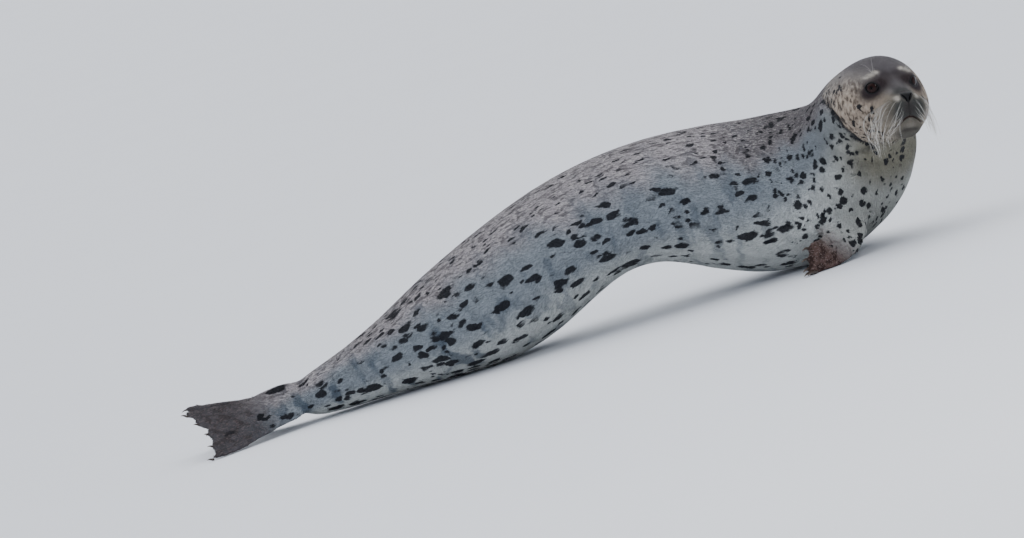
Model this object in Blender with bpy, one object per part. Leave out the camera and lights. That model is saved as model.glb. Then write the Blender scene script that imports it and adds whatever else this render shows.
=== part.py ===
"""Adult spotted seal, life size, lying on chest and rump, its back arched and its head turned to its right.

Metres, +X from tail towards head, +Y to the animal's left, +Z up, and the floor at z = 0. The flesh is one
lofted body, parted by thin plane cuts into rump, belly, chest, neck and head. Flippers and tail are lofted
paddles whose roots are trimmed to the body. Eyes, nose pad and claws are pieces of their own.
"""

import math
from collections import namedtuple

import bmesh
import bpy
import numpy as np
from mathutils import Matrix, Vector
from mathutils.bvhtree import BVHTree

GAP = 0.0003  # clearance between neighbouring pieces
ROOT_GAP = 0.0010  # clearance between the body and the roots of its limbs
AROUND = 40  # points on each ring of the body
SHARP_EDGE = math.radians(35)  # creases deeper than this are shaded sharp

# ---- head: where the middle of the braincase is, and how the head is turned from the body's +X
HEAD_CENTRE = Vector((0.213, -0.228, 0.310))
HEAD_YAW = math.radians(-71.5)
HEAD_PITCH = math.radians(-0.5)
HEAD_ROLL = math.radians(-9)

# ---- face, in head axes: ahead, aside (left) and above of the head's centre
EYE_RADIUS = 0.0195
EYE_LOOK_FROM = (0.045, 0.0, 0.010)  # the line of sight leaves the braincase here
EYE_LOOK_TO = (0.094, 0.047, 0.013)  # and leaves the head about here
EYE_BULGE = 0.0060  # how far the ball stands out of the flesh along that line
NOSE_PLACE = Vector((0.1490, 0.0, -0.0145))
NOSE_SIZE = (0.0105, 0.0165, 0.0115)  # half length, half width, half height
NOSE_PITCH = math.radians(-20)  # the pad's upper edge leans back
NOSTRIL_ASIDE, NOSTRIL_ABOVE = 0.0065, 0.0005
NOSTRIL_SIZE = (0.0055, 0.0014, 0.0062)
NOSTRIL_SLANT = math.radians(32)  # outwards from the vertical, going up
MOUTH_HINGE = Vector((0.075, 0.0, -0.054))  # the lips lie in a fan of directions from here
MOUTH_SPREAD = math.radians(42)
MOUTH_DROOP = 0.030  # how much lower the corners are than the middle, 0.1 ahead of the hinge
MOUTH_BEND = math.radians(20)  # how wide the arch at the middle is
LIP_GROOVE = 0.0022  # half the groove's height at its middle
GROOVE_DEPTH = 1.6  # how much deeper than high the groove is
EAR_PLACE = (-0.006, 0.094, 0.012)
EAR_SIZE = (0.0028, 0.0038, 0.008)

# ---- flippers and their claws
ROUNDED_FROM = 0.94  # how far along a flipper its tips start to thin
TIP_THINNING = 0.75  # how much of the squared thickness is gone at the very tip
DIGITS = 5
DIGIT_ROUNDING = 0.035  # how far back the web between two digits lies, as a part of the length
EDGE_POWER = 2.6  # 2 gives an elliptical cross-section, and more a boxier one
CLAW_CLEARANCE = 0.001  # between a claw and the floor
CLAW_DROOP = 0.28  # how far a claw curves down, as a part of its length
CLAW_SUNK = 0.35  # how much of a claw is inside the digit
CLAW_HEIGHT = 0.6  # where in the tip's thickness a claw starts, from its underside

# Cross-sections from tail to neck: centre, half width, half height, and how much wider the lower half is.
Station = namedtuple("Station", "name centre half_width half_height sag")
TRUNK = (
    Station("tail_root", (-1.118, 0.052, 0.050), 0.020, 0.017, 0.0),
    Station("ankles", (-1.082, 0.052, 0.051), 0.050, 0.040, 0.0),
    Station("shanks", (-0.990, 0.050, 0.061), 0.078, 0.059, 0.02),
    Station("hips", (-0.880, 0.047, 0.081), 0.112, 0.081, 0.05),
    Station("rump", (-0.770, 0.042, 0.103), 0.145, 0.111, 0.09),
    Station("flank", (-0.665, 0.036, 0.126), 0.162, 0.131, 0.11),
    Station("loin", (-0.575, 0.030, 0.156), 0.168, 0.135, 0.10),
    Station("waist_rear", (-0.480, 0.022, 0.194), 0.167, 0.129, 0.07),
    Station("waist", (-0.377, 0.015, 0.221), 0.166, 0.123, 0.05),
    Station("ribs_rear", (-0.275, 0.009, 0.222), 0.170, 0.129, 0.05),
    Station("ribs", (-0.173, 0.003, 0.198), 0.176, 0.147, 0.08),
    Station("breast", (-0.075, -0.006, 0.169), 0.180, 0.160, 0.10),
    Station("shoulder", (0.023, -0.027, 0.158), 0.175, 0.163, 0.10),
    Station("neck_base", (0.105, -0.067, 0.180), 0.155, 0.147, 0.07),
    Station("neck_mid", (0.153, -0.119, 0.223), 0.127, 0.125, 0.09),
    Station("occiput", (0.185, -0.172, 0.277), 0.105, 0.099, 0.14),
    Station("crown", (0.204, -0.209, 0.292), 0.098, 0.091, 0.04),
)
# Cross-sections of the head: how far ahead of its centre, half width, top and bottom above it, and sag.
Slice = namedtuple("Slice", "name ahead half_width top bottom sag")
HEAD = (
    Slice("ears", 0.010, 0.096, 0.077, -0.105, 0.09),
    Slice("temples", 0.040, 0.090, 0.071, -0.101, 0.08),
    Slice("brows", 0.065, 0.080, 0.058, -0.100, 0.10),
    Slice("eyes", 0.085, 0.069, 0.042, -0.099, 0.12),
    Slice("bridge", 0.104, 0.056, 0.024, -0.099, 0.12),
    Slice("muzzle", 0.122, 0.046, 0.009, -0.097, 0.09),
    Slice("pads", 0.138, 0.040, 0.000, -0.088, 0.05),
    Slice("lips", 0.149, 0.031, -0.005, -0.071, 0.01),
    Slice("snout", 0.1555, 0.020, -0.011, -0.048, 0.0),
    Slice("tip", 0.158, 0.006, -0.022, -0.034, 0.0),
)
# Soft swellings and hollows of the face, in head axes: centre, reach each way, and push, for both sides.
Bump = namedtuple("Bump", "name centre reach push")
FACE = (
    Bump("whisker_pad", (0.140, 0.025, -0.036), (0.025, 0.018, 0.019), (0.007, 0.010, -0.001)),
    Bump("cheek", (0.060, 0.070, -0.040), (0.045, 0.040, 0.035), (0.000, 0.004, 0.000)),
    Bump("jowl", (0.010, 0.080, -0.070), (0.060, 0.050, 0.035), (0.000, 0.004, -0.001)),
    Bump("brow", (0.078, 0.040, 0.044), (0.020, 0.020, 0.014), (0.004, 0.003, 0.004)),
    Bump("under_eye", (0.104, 0.046, -0.010), (0.018, 0.014, 0.014), (-0.003, -0.004, 0.000)),
    Bump("chin", (0.138, 0.010, -0.085), (0.018, 0.020, 0.014), (0.006, 0.000, -0.002)),
    Bump("lip_corner", (0.112, 0.042, -0.072), (0.020, 0.014, 0.012), (0.000, -0.003, 0.000)),
)

COLOURS = {
    "coat": ((0.36, 0.37, 0.36), 0.75),
    "eye": ((0.012, 0.007, 0.006), 0.08),
    "nose": ((0.02, 0.02, 0.022), 0.35),
    "claw": ((0.035, 0.026, 0.022), 0.4),
}


# ---- helpers -------------------------------------------------------------------------------------------
def head_matrix():
    """From head axes (ahead, left, up) to the model's."""
    turn = (
        Matrix.Rotation(HEAD_YAW, 4, "Z")
        @ Matrix.Rotation(-HEAD_PITCH, 4, "Y")
        @ Matrix.Rotation(HEAD_ROLL, 4, "X")
    )
    return Matrix.Translation(HEAD_CENTRE) @ turn


def smooth_through(values, knots, at):
    """Catmull-Rom curve through rows of values at increasing knots, read at the numbers in at."""
    values, knots, at = (np.asarray(x, float) for x in (values, knots, at))
    slope = np.gradient(values, knots, axis=0)
    i = np.clip(np.searchsorted(knots, at, side="right") - 1, 0, len(knots) - 2)
    span = (knots[i + 1] - knots[i])[:, None]
    t = (at - knots[i])[:, None] / span
    return (
        (2 * t**3 - 3 * t**2 + 1) * values[i]
        + (t**3 - 2 * t**2 + t) * span * slope[i]
        + (3 * t**2 - 2 * t**3) * values[i + 1]
        + (t**3 - t**2) * span * slope[i + 1]
    )


def unit(rows):
    return rows / np.linalg.norm(rows, axis=-1, keepdims=True)


def material(name):
    colour, roughness = COLOURS[name]
    found = bpy.data.materials.get(name) or bpy.data.materials.new(name)
    found.use_nodes = True
    shader = found.node_tree.nodes["Principled BSDF"]
    shader.inputs["Base Color"].default_value = (*colour, 1)
    shader.inputs["Roughness"].default_value = roughness
    return found


def loft(name, rings, finish="coat", strip_end=False):
    """A closed solid through rings of equal length, or through a pole of one point.

    strip_end closes a paddle's thin tip by joining its upper side to its lower one.
    """
    mesh = bmesh.new()
    loops = [[mesh.verts.new(p) for p in ring] for ring in rings]
    for a, b in zip(loops, loops[1:]):
        count = max(len(a), len(b))
        for j in range(count):
            k = (j + 1) % count
            corners = [a[j % len(a)], a[k % len(a)], b[k % len(b)], b[j % len(b)]]
            mesh.faces.new(list(dict.fromkeys(corners)))
    for loop, is_end in ((loops[0], False), (loops[-1], True)):
        if len(loop) > 2 and not (is_end and strip_end):
            mesh.faces.new(loop)
    if strip_end:
        close_strip(mesh, loops[-1])
    bmesh.ops.recalc_face_normals(mesh, faces=mesh.faces)
    return new_object(name, mesh, finish)


def close_strip(mesh, loop):
    """Joins the upper run of a paddle's last ring to the lower run, point by point."""
    half = len(loop) // 2
    for j in range(half):
        corners = [loop[j], loop[j + 1], loop[(2 * half - j - 1)], loop[(2 * half - j) % (2 * half)]]
        mesh.faces.new(list(dict.fromkeys(corners)))


def new_object(name, mesh, finish):
    data = bpy.data.meshes.new(name)
    mesh.to_mesh(data)
    mesh.free()
    data.materials.append(material(finish))
    data.shade_smooth()
    data.set_sharp_from_angle(angle=SHARP_EDGE)
    obj = bpy.data.objects.new(name, data)
    bpy.context.scene.collection.objects.link(obj)
    return obj


def ellipsoid(name, centre, radii, turn, finish="coat", segments=14, rings=8):
    mesh = bmesh.new()
    place = Matrix.Translation(centre) @ turn.to_4x4() @ Matrix.Diagonal((*radii, 1))
    bmesh.ops.create_uvsphere(mesh, u_segments=segments, v_segments=rings, radius=1, matrix=place)
    return new_object(name, mesh, finish)


def subtract(obj, cutter):
    """Cuts cutter's shape out of obj for good, and leaves the cutter as it was."""
    modifier = obj.modifiers.new("cut", "BOOLEAN")
    modifier.operation, modifier.object, modifier.solver = "DIFFERENCE", cutter, "EXACT"
    graph = bpy.context.evaluated_depsgraph_get()
    cut = bpy.data.meshes.new_from_object(obj.evaluated_get(graph))
    obj.modifiers.clear()
    obj.data = cut
    cut.set_sharp_from_angle(angle=SHARP_EDGE)


def drop_scraps(obj):
    """Keeps only the largest of the separate bodies that a cut has left."""
    mesh = bmesh.new()
    mesh.from_mesh(obj.data)
    left, bodies = set(mesh.verts), []
    while left:
        body, edge = set(), [left.pop()]
        while edge:
            vert = edge.pop()
            body.add(vert)
            near = {e.other_vert(vert) for e in vert.link_edges} & left
            left -= near
            edge += near
        bodies.append(body)
    largest = max(bodies, key=len)
    bmesh.ops.delete(mesh, geom=[v for v in mesh.verts if v not in largest], context="VERTS")
    mesh.to_mesh(obj.data)
    mesh.free()


def cut_with(obj, cutter):
    """Subtracts a cutter that isn't needed afterwards."""
    subtract(obj, cutter)
    bpy.data.objects.remove(cutter)


# ---- body ----------------------------------------------------------------------------------------------
def body_stations():
    """Every cross-section as one row, and how far along the body each is.

    A row holds the centre, the normal, the up direction, half the width, half the height and the sag.
    """
    head = head_matrix()
    ahead, up = head.to_3x3().col[0], head.to_3x3().col[2]
    head_middles = [head @ Vector((s.ahead, 0, (s.top + s.bottom) / 2)) for s in HEAD]
    middles = np.array([s.centre for s in TRUNK] + [tuple(m) for m in head_middles])
    knots = np.concatenate([[0], np.cumsum(np.linalg.norm(np.diff(middles, axis=0), axis=1))])
    normals = unit(np.gradient(middles, knots, axis=0))
    rows = [[*s.centre, *n, 0, 0, 1, s.half_width, s.half_height, s.sag] for s, n in zip(TRUNK, normals)]
    for s, middle in zip(HEAD, head_middles):
        rows.append([*middle, *ahead, *up, s.half_width, (s.top - s.bottom) / 2, s.sag])
    return np.array(rows), knots


def ring_at(row, count=AROUND):
    """The cross-section of one interpolated station, as count points, starting on the animal's left."""
    centre, normal, up = row[0:3], unit(row[3:6]), row[6:9]
    left = unit(np.cross(up, normal))
    up = np.cross(normal, left)
    half_width, half_height, sag = row[9:12]
    angle = np.linspace(0, 2 * np.pi, count, endpoint=False)
    side = half_width * np.cos(angle) * (1 - sag * np.sin(angle))
    rise = half_height * np.sin(angle)
    return centre + side[:, None] * left + rise[:, None] * up


def shape_face(points):
    """Moves points near the face by the soft swellings and hollows of FACE."""
    to_head = np.array(head_matrix().inverted())
    from_head = np.array(head_matrix())
    p = points @ to_head[:3, :3].T + to_head[:3, 3]
    moved = p.copy()
    for bump in FACE:
        for side in (1, -1):
            centre = np.array(bump.centre) * (1, side, 1)
            push = np.array(bump.push) * (1, side, 1)
            near = np.exp(-(((p - centre) / bump.reach) ** 2).sum(1))
            moved += near[:, None] * push
    return moved @ from_head[:3, :3].T + from_head[:3, 3]


def body_ring(rows, knots, at, shift=0.0, swell=0.0):
    """One finished ring of the body, some way along it. shift moves it on its axis, and swell grows it."""
    row = smooth_through(rows, knots, [at])[0]
    row[0:3] += shift * unit(row[3:6])
    row[9:11] += swell
    ring = shape_face(ring_at(row))
    ring[:, 2] = np.maximum(ring[:, 2], -swell)
    return ring


def station_index(name):
    names = [s.name for s in TRUNK] + [s.name for s in HEAD]
    return names.index(name)


def make_body():
    """The five lengths of the body, and a slightly swollen whole that trims the limbs."""
    rows, knots = body_stations()
    lengths = (  # node, from, to, rings between
        ("rump", "tail_root", "loin", 11),
        ("belly", "loin", "ribs", 8),
        ("chest", "ribs", "neck_base", 7),
        ("neck", "neck_base", "occiput", 8),
        ("head", "occiput", "tip", 22),
    )
    made, whole = {}, []
    for name, first, last, count in lengths:
        start, end = knots[station_index(first)], knots[station_index(last)]
        at = np.linspace(start, end, count + 1)
        if name == "head":  # closer and closer towards the muzzle's round front
            at = start + (end - start) * np.sin(np.linspace(0, math.pi / 2, count + 1)) ** 0.9
        rings = [body_ring(rows, knots, a) for a in at]
        if name != "rump":
            rings[0] = body_ring(rows, knots, at[0], shift=GAP / 2)
        if name != "head":
            rings[-1] = body_ring(rows, knots, at[-1], shift=-GAP / 2)
        made[name] = loft(name, rings)
        shared = at if name == "head" else at[:-1]
        whole += [body_ring(rows, knots, a, swell=ROOT_GAP) for a in shared]
    return made, loft("body_trimmer", whole)


# ---- limbs ---------------------------------------------------------------------------------------------
Paddle = namedtuple(
    "Paddle", "length width root_width thickness tip_thickness ridge tip_lengths flare steps columns"
)
FORE = Paddle(
    length=0.205,
    width=0.092,
    root_width=0.078,
    thickness=0.046,
    tip_thickness=0.014,
    ridge=0.16,  # how much thicker a digit is than the web beside it
    tip_lengths=(1.0, 1.0, 0.965, 0.92, 0.86),  # from the first digit to the last
    flare=0.8,  # 1 widens evenly from root to tip, and less sooner
    steps=7,
    columns=16,
)
HIND = Paddle(
    length=0.265,
    width=0.165,
    root_width=0.066,
    thickness=0.048,
    tip_thickness=0.010,
    ridge=0.22,
    tip_lengths=(1.0, 0.94, 0.91, 0.94, 0.99),
    flare=1.15,
    steps=7,
    columns=16,
)
TAIL = Paddle(
    length=0.10,
    width=0.034,
    root_width=0.050,
    thickness=0.026,
    tip_thickness=0.009,
    ridge=0.0,
    tip_lengths=(0.94, 0.98, 1.0, 0.98, 0.94),
    flare=1.0,
    steps=6,
    columns=9,
)
MIDDLE_Y = 0.052  # the middle plane of the hind end

# Each limb's path starts inside the body. The leading direction points across it, to its first digit.
Limb = namedtuple("Limb", "name spec path leading")
LIMBS = (
    Limb(
        "fore_flipper_right",
        FORE,
        ((0.110, -0.095, 0.115), (0.088, -0.160, 0.070), (0.040, -0.208, 0.030), (-0.036, -0.245, 0.009)),
        (1, 0.30, -0.1),
    ),
    Limb(
        "fore_flipper_left",
        FORE,
        ((0.075, 0.070, 0.105), (0.085, 0.135, 0.062), (0.082, 0.190, 0.026), (0.055, 0.265, 0.009)),
        (1, -0.3, -0.1),
    ),
    Limb(
        "hind_flipper_right",
        HIND,
        ((-1.060, 0.035, 0.052), (-1.130, 0.018, 0.050), (-1.210, -0.004, 0.049), (-1.315, -0.040, 0.050)),
        (-0.15, -0.72, -0.62),
    ),
    Limb(
        "hind_flipper_left",
        HIND,
        ((-1.060, 0.069, 0.052), (-1.130, 0.086, 0.050), (-1.210, 0.110, 0.049), (-1.310, 0.156, 0.050)),
        (-0.15, 0.72, -0.62),
    ),
    Limb(
        "tail",
        TAIL,
        ((-1.065, 0.052, 0.076), (-1.115, 0.052, 0.087), (-1.190, 0.053, 0.084)),
        (0, 1, 0),
    ),
)
Claw = namedtuple("Claw", "length radius")
CLAWS = {FORE: Claw(0.026, 0.0042), HIND: Claw(0.014, 0.0026)}


def bend_path(points, count):
    """Evenly spaced places and directions on a smooth line through a few points."""
    points = np.array(points)
    knots = np.concatenate([[0], np.cumsum(np.linalg.norm(np.diff(points, axis=0), axis=1))])
    fine = smooth_through(points, knots, np.linspace(0, knots[-1], 200))
    run = np.concatenate([[0], np.cumsum(np.linalg.norm(np.diff(fine, axis=0), axis=1))])
    at = np.linspace(0, 1, count) * run[-1]
    places = np.stack([np.interp(at, run, fine[:, k]) for k in range(3)], 1)
    return places, unit(np.gradient(places, axis=0))


def digit_reach(across, tip_lengths):
    """How far the outline reaches at a place across the paddle, with a rounded end on each digit."""
    place = across * DIGITS
    digit = np.clip(place.astype(int), 0, DIGITS - 1)
    from_middle = np.abs(place - digit - 0.5) * 2
    reach = np.interp(across, (np.arange(DIGITS) + 0.5) / DIGITS, tip_lengths)
    return reach - DIGIT_ROUNDING * from_middle**2.5


def paddle_surface(spec, path, leading, along, across, upper):
    """Points of a flipper's upper side (upper is 1) or its lower one (-1).

    along runs 0 to 1 from root to tip, and across 0 to 1 from the leading edge.
    """
    places, directions = path
    reach = 1 - along * (1 - digit_reach(across, spec.tip_lengths))
    at = np.clip(along * reach, 0, 1) * (len(places) - 1)
    count = np.arange(len(places))
    base = np.stack([np.interp(at, count, places[:, k]) for k in range(3)], 1)
    forward = unit(np.stack([np.interp(at, count, directions[:, k]) for k in range(3)], 1))
    side = unit(leading - (forward * leading).sum(1, keepdims=True) * forward)
    normal = np.cross(side, forward)
    width = spec.root_width + (spec.width - spec.root_width) * along**spec.flare
    offset = (0.5 - across) * width
    edge = np.clip(1 - np.abs(2 * across - 1) ** EDGE_POWER, 0, 1) ** 0.5
    ridge = 1 + spec.ridge * along * np.cos(2 * np.pi * (across * DIGITS - 0.5))
    end = np.clip((along - ROUNDED_FROM) / (1 - ROUNDED_FROM), 0, 1)
    thick = (spec.thickness + (spec.tip_thickness - spec.thickness) * along**0.75) * edge * ridge
    thick *= np.sqrt(1 - TIP_THINNING * end**2)
    return base + offset[:, None] * side + (upper * thick / 2)[:, None] * normal


def make_paddle(name, spec, path_points, leading):
    """A flipper along a bent path. leading points across it, to its first digit."""
    path = bend_path(path_points, 40)
    leading = np.array(leading, float)
    across = np.linspace(0, 1, spec.columns)
    rings = []
    for along in [*np.linspace(0, ROUNDED_FROM, spec.steps - 1), 1.0]:
        here = np.full(spec.columns, along)
        upper = paddle_surface(spec, path, leading, here, across, 1)
        lower = paddle_surface(spec, path, leading, here, across, -1)
        ring = np.concatenate([upper, lower[-2:0:-1]])
        ring[:, 2] = np.maximum(ring[:, 2], 0)
        rings.append(ring)
    return loft(name, rings, strip_end=True)


def claw_rings(root, ahead, up, length, radius, sides=5, steps=3):
    """A claw that curves downwards from its root to a point."""
    side = unit(np.cross(up, ahead))
    rings = []
    for t in np.linspace(0, 1, steps + 1)[:-1]:
        centre = root + ahead * length * t - up * length * CLAW_DROOP * t**2
        r = radius * (1 - t) ** 0.6
        angle = np.linspace(0, 2 * np.pi, sides, endpoint=False)
        rings.append(centre + r * (np.cos(angle)[:, None] * side * 0.75 + np.sin(angle)[:, None] * up))
    rings.append(np.array([root + ahead * length - up * length * CLAW_DROOP]))
    return rings


def make_claws(limb, flipper):
    """A claw on the upper side of each digit's end, in a bed that is cut into the flipper."""
    length, radius = CLAWS[limb.spec]
    path = bend_path(limb.path, 40)
    leading = np.array(limb.leading, float)
    for digit in range(DIGITS):
        across = np.full(2, (digit + 0.5) / DIGITS)
        upper = paddle_surface(limb.spec, path, leading, np.array([0.90, 1.0]), across, 1)
        lower = paddle_surface(limb.spec, path, leading, np.array([0.90, 1.0]), across, -1)
        ahead = unit(upper[1] - upper[0])
        up = unit((upper - lower)[0])
        root = lower[1] + (upper[1] - lower[1]) * CLAW_HEIGHT - ahead * length * CLAW_SUNK
        lowest = min(ring[:, 2].min() for ring in claw_rings(root, ahead, up, length, radius))
        root[2] += max(0, CLAW_CLEARANCE - lowest)
        name = limb.name.replace("flipper", "claw")
        loft(f"{name}_{digit + 1}", claw_rings(root, ahead, up, length, radius), "claw")
        bed = loft("bed", claw_rings(root - ahead * GAP, ahead, up, length, radius + GAP))
        cut_with(flipper, bed)


def far_side(side):
    """A block over the other side of the hind end's middle plane, which keeps the two hind flippers apart."""
    mesh = bmesh.new()
    reach = 0.5
    place = Matrix.Translation((TRUNK[0].centre[0], MIDDLE_Y + side * (reach / 2 - GAP / 2), 0.0))
    bmesh.ops.create_cube(mesh, size=reach, matrix=place)
    return new_object("far_side", mesh, "coat")


def swollen(spec):
    """A flipper's sizes, grown all round, for the bed that it leaves in the tail."""
    more = 4 * ROOT_GAP
    return spec._replace(
        width=spec.width + more,
        root_width=spec.root_width + more,
        thickness=spec.thickness + more,
        tip_thickness=spec.tip_thickness + more,
    )


def make_limbs(trimmer):
    made = {limb.name: make_paddle(*limb) for limb in LIMBS}
    for limb in LIMBS:
        subtract(made[limb.name], trimmer)
        if limb.spec is HIND:
            cut_with(made[limb.name], far_side(1 if limb.name.endswith("right") else -1))
            cut_with(made["tail"], make_paddle("bed", swollen(limb.spec), limb.path, limb.leading))
        if limb.spec in CLAWS:
            make_claws(limb, made[limb.name])
    for paddle in made.values():
        drop_scraps(paddle)


# ---- face ----------------------------------------------------------------------------------------------
def head_surface(head, start, towards):
    """Where a line through two places in head axes leaves the head, in the model's axes."""
    place = head_matrix()
    origin = place @ Vector(start)
    way = (place @ Vector(towards) - origin).normalized()
    tree = BVHTree.FromPolygons([v.co for v in head.data.vertices], [p.vertices for p in head.data.polygons])
    return tree.ray_cast(origin, way)[0], way


def make_eyes(head):
    aims = [Vector(EYE_LOOK_TO) * Vector((1, side, 1)) for side in (1, -1)]
    places = [head_surface(head, EYE_LOOK_FROM, aim) for aim in aims]
    for (surface, look), name in zip(places, ("eye_left", "eye_right")):
        centre = surface - look * (EYE_RADIUS - EYE_BULGE)
        turn = look.to_track_quat("Z", "Y").to_matrix()
        ellipsoid(name, centre, [EYE_RADIUS] * 3, turn, "eye")
        socket = ellipsoid("socket", centre, [EYE_RADIUS + GAP] * 3, turn)
        cut_with(head, socket)


def make_mouth(head):
    """A thin groove where the lips meet, from one corner round the front to the other."""
    steps = 8
    centres = []
    for t in np.linspace(-1, 1, steps + 1):
        angle = t * MOUTH_SPREAD
        towards = MOUTH_HINGE + Vector((math.cos(angle), math.sin(angle), 0)) * 0.1
        towards.z -= MOUTH_DROOP * (1 - math.exp(-((angle / MOUTH_BEND) ** 2)))
        centres.append(np.array(head_surface(head, MOUTH_HINGE, towards)[0]))
    centres = np.array(centres)
    along = unit(np.gradient(centres, axis=0))
    up = np.array(head_matrix().to_3x3().col[2])
    out = unit(np.cross(along, up))
    taper = np.sin(np.linspace(0.12, math.pi - 0.12, steps + 1)) ** 0.4 * LIP_GROOVE
    rings = []
    for centre, a, o, radius in zip(centres, along, out, taper):
        angle = np.linspace(0, 2 * np.pi, 6, endpoint=False)[:, None]
        rings.append(centre + radius * (np.sin(angle) * np.cross(o, a) + GROOVE_DEPTH * np.cos(angle) * o))
    cut_with(head, loft("groove", rings))


def make_nose(head):
    """The bare pad at the tip of the snout, with two nostrils that slant down towards each other."""
    place = head_matrix()
    turn = place.to_3x3() @ Matrix.Rotation(NOSE_PITCH, 3, "Y")
    pad = ellipsoid("nose", place @ NOSE_PLACE, NOSE_SIZE, turn, "nose")
    bed = ellipsoid("bed", place @ NOSE_PLACE, [r + GAP for r in NOSE_SIZE], turn)
    cut_with(head, bed)
    for side in (1, -1):
        centre = place @ (NOSE_PLACE + Vector((NOSE_SIZE[0], side * NOSTRIL_ASIDE, NOSTRIL_ABOVE)))
        slant = turn @ Matrix.Rotation(-side * NOSTRIL_SLANT, 3, "X")
        slit = ellipsoid("slit", centre, NOSTRIL_SIZE, slant, "nose", segments=8, rings=6)
        cut_with(pad, slit)


def make_ears(head):
    """Seals have no outer ear, only a small hole."""
    place = head_matrix()
    for side in (1, -1):
        towards = Vector(EAR_PLACE) * Vector((1, side, 1))
        surface, way = head_surface(head, (EAR_PLACE[0], 0, EAR_PLACE[2]), towards)
        turn = way.to_track_quat("Z", "Y").to_matrix()
        pit = ellipsoid("pit", surface, EAR_SIZE, turn, segments=8, rings=6)
        cut_with(head, pit)


def stand_on_origin():
    """Moves everything sideways, so that the middle of the floor under the whole seal is the origin."""
    pieces = list(bpy.data.objects)
    corners = np.array([v.co for piece in pieces for v in piece.data.vertices])
    middle = (corners.min(0) + corners.max(0)) / 2
    for piece in pieces:
        piece.data.transform(Matrix.Translation((-middle[0], -middle[1], 0)))


def main():
    for obj in list(bpy.data.objects):
        bpy.data.objects.remove(obj)
    body, trimmer = make_body()
    make_limbs(trimmer)
    bpy.data.objects.remove(trimmer)
    make_nose(body["head"])
    make_mouth(body["head"])
    make_eyes(body["head"])
    make_ears(body["head"])
    stand_on_origin()


if __name__ == "__main__":
    main()
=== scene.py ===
"""Looks of a life-size adult spotted seal: one skin over its flesh, a coat, eyes, claws and whiskers.

Everything is in metres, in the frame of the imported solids. Body places are told in two ways: in head axes
(ahead, left, up from the middle of the braincase), and along the body (how far from the tail along its
middle line, then how far to its left and above that line).
"""

import math
from collections import namedtuple

import bmesh
import bpy
import numpy as np
from bpy.props import FloatProperty, FloatVectorProperty, IntProperty, PointerProperty
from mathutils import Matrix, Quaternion, Vector
from mathutils.bvhtree import BVHTree


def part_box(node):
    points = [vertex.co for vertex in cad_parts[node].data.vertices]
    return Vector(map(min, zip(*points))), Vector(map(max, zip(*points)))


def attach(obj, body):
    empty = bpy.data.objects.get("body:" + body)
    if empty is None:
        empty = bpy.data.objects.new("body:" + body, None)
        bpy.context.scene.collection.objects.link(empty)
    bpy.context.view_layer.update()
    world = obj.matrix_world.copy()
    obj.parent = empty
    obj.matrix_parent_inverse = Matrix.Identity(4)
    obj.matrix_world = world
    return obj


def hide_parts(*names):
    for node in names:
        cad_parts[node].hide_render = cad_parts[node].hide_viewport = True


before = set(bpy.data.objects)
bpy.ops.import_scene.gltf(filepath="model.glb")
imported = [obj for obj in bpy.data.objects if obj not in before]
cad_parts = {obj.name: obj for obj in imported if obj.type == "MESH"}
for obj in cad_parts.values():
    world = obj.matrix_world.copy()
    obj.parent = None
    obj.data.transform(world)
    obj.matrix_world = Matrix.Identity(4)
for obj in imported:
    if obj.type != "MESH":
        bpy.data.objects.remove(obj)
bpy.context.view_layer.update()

bl_info = {
    "name": "Spotted seal looks",
    "version": (1, 0, 0),
    "blender": (4, 5, 0),
    "location": "3D View > Sidebar > Seal",
    "description": "Skin, coat, eyes, claws and whiskers of a life-size spotted seal",
    "category": "Object",
}

BODY = ("rump", "belly", "chest", "neck", "head")
LIMBS = ("tail", "fore_flipper_right", "fore_flipper_left", "hind_flipper_right", "hind_flipper_left")
FLESH = (*BODY, *LIMBS, "nose")
EYES = ("eye_left", "eye_right")
DIGITS = 5
SEED = 7

# Places on the head, in head axes.
EYE_AT = Vector((0.083, 0.037, 0.012))
NOSE_AT = Vector((0.149, 0.0, -0.0145))
MOUTH_HINGE = Vector((0.075, 0.0, -0.054))  # the lips lie in a fan of directions from here
EAR_AT = (-0.006, 0.094, 0.012)


# ---- settings ------------------------------------------------------------------------------------
def length_setting(name, description, default):
    return FloatProperty(name=name, description=description, default=default, unit="LENGTH", precision=4)


def colour_setting(name, description, default):
    return FloatVectorProperty(name=name, description=description, default=default, subtype="COLOR", size=3)


class SealSkinSettings(bpy.types.PropertyGroup):
    form_grain: length_setting("Form grain", "Size of the grid that the flesh is cast on", 0.003)
    skin_grain: length_setting("Skin grain", "Size of the skin's faces before they are split", 0.0072)
    coat_depth: length_setting("Coat depth", "How deep the skin lies in the solids on the trunk", 0.0022)
    fold_depth: length_setting("Fold depth", "Depth of the folds of the neck", 0.005)


class SealFaceSettings(bpy.types.PropertyGroup):
    eye_width: length_setting("Eye width", "Length of the opening between the lids", 0.029)
    eye_height: length_setting("Eye height", "Height of the opening between the lids", 0.021)
    lid: length_setting("Lid", "Thickness of the lids over the ball", 0.0014)
    whisker: length_setting("Whisker", "Length of the longest whiskers", 0.158)


class SealCoatSettings(bpy.types.PropertyGroup):
    tuft_length: length_setting("Tuft length", "Length of a tuft on the trunk", 0.0105)
    tuft_width: length_setting("Tuft width", "Width of a tuft on the trunk", 0.0024)
    tufts: IntProperty(name="Tufts", description="Most tufts in one piece of coat", default=32000, min=100)


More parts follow.
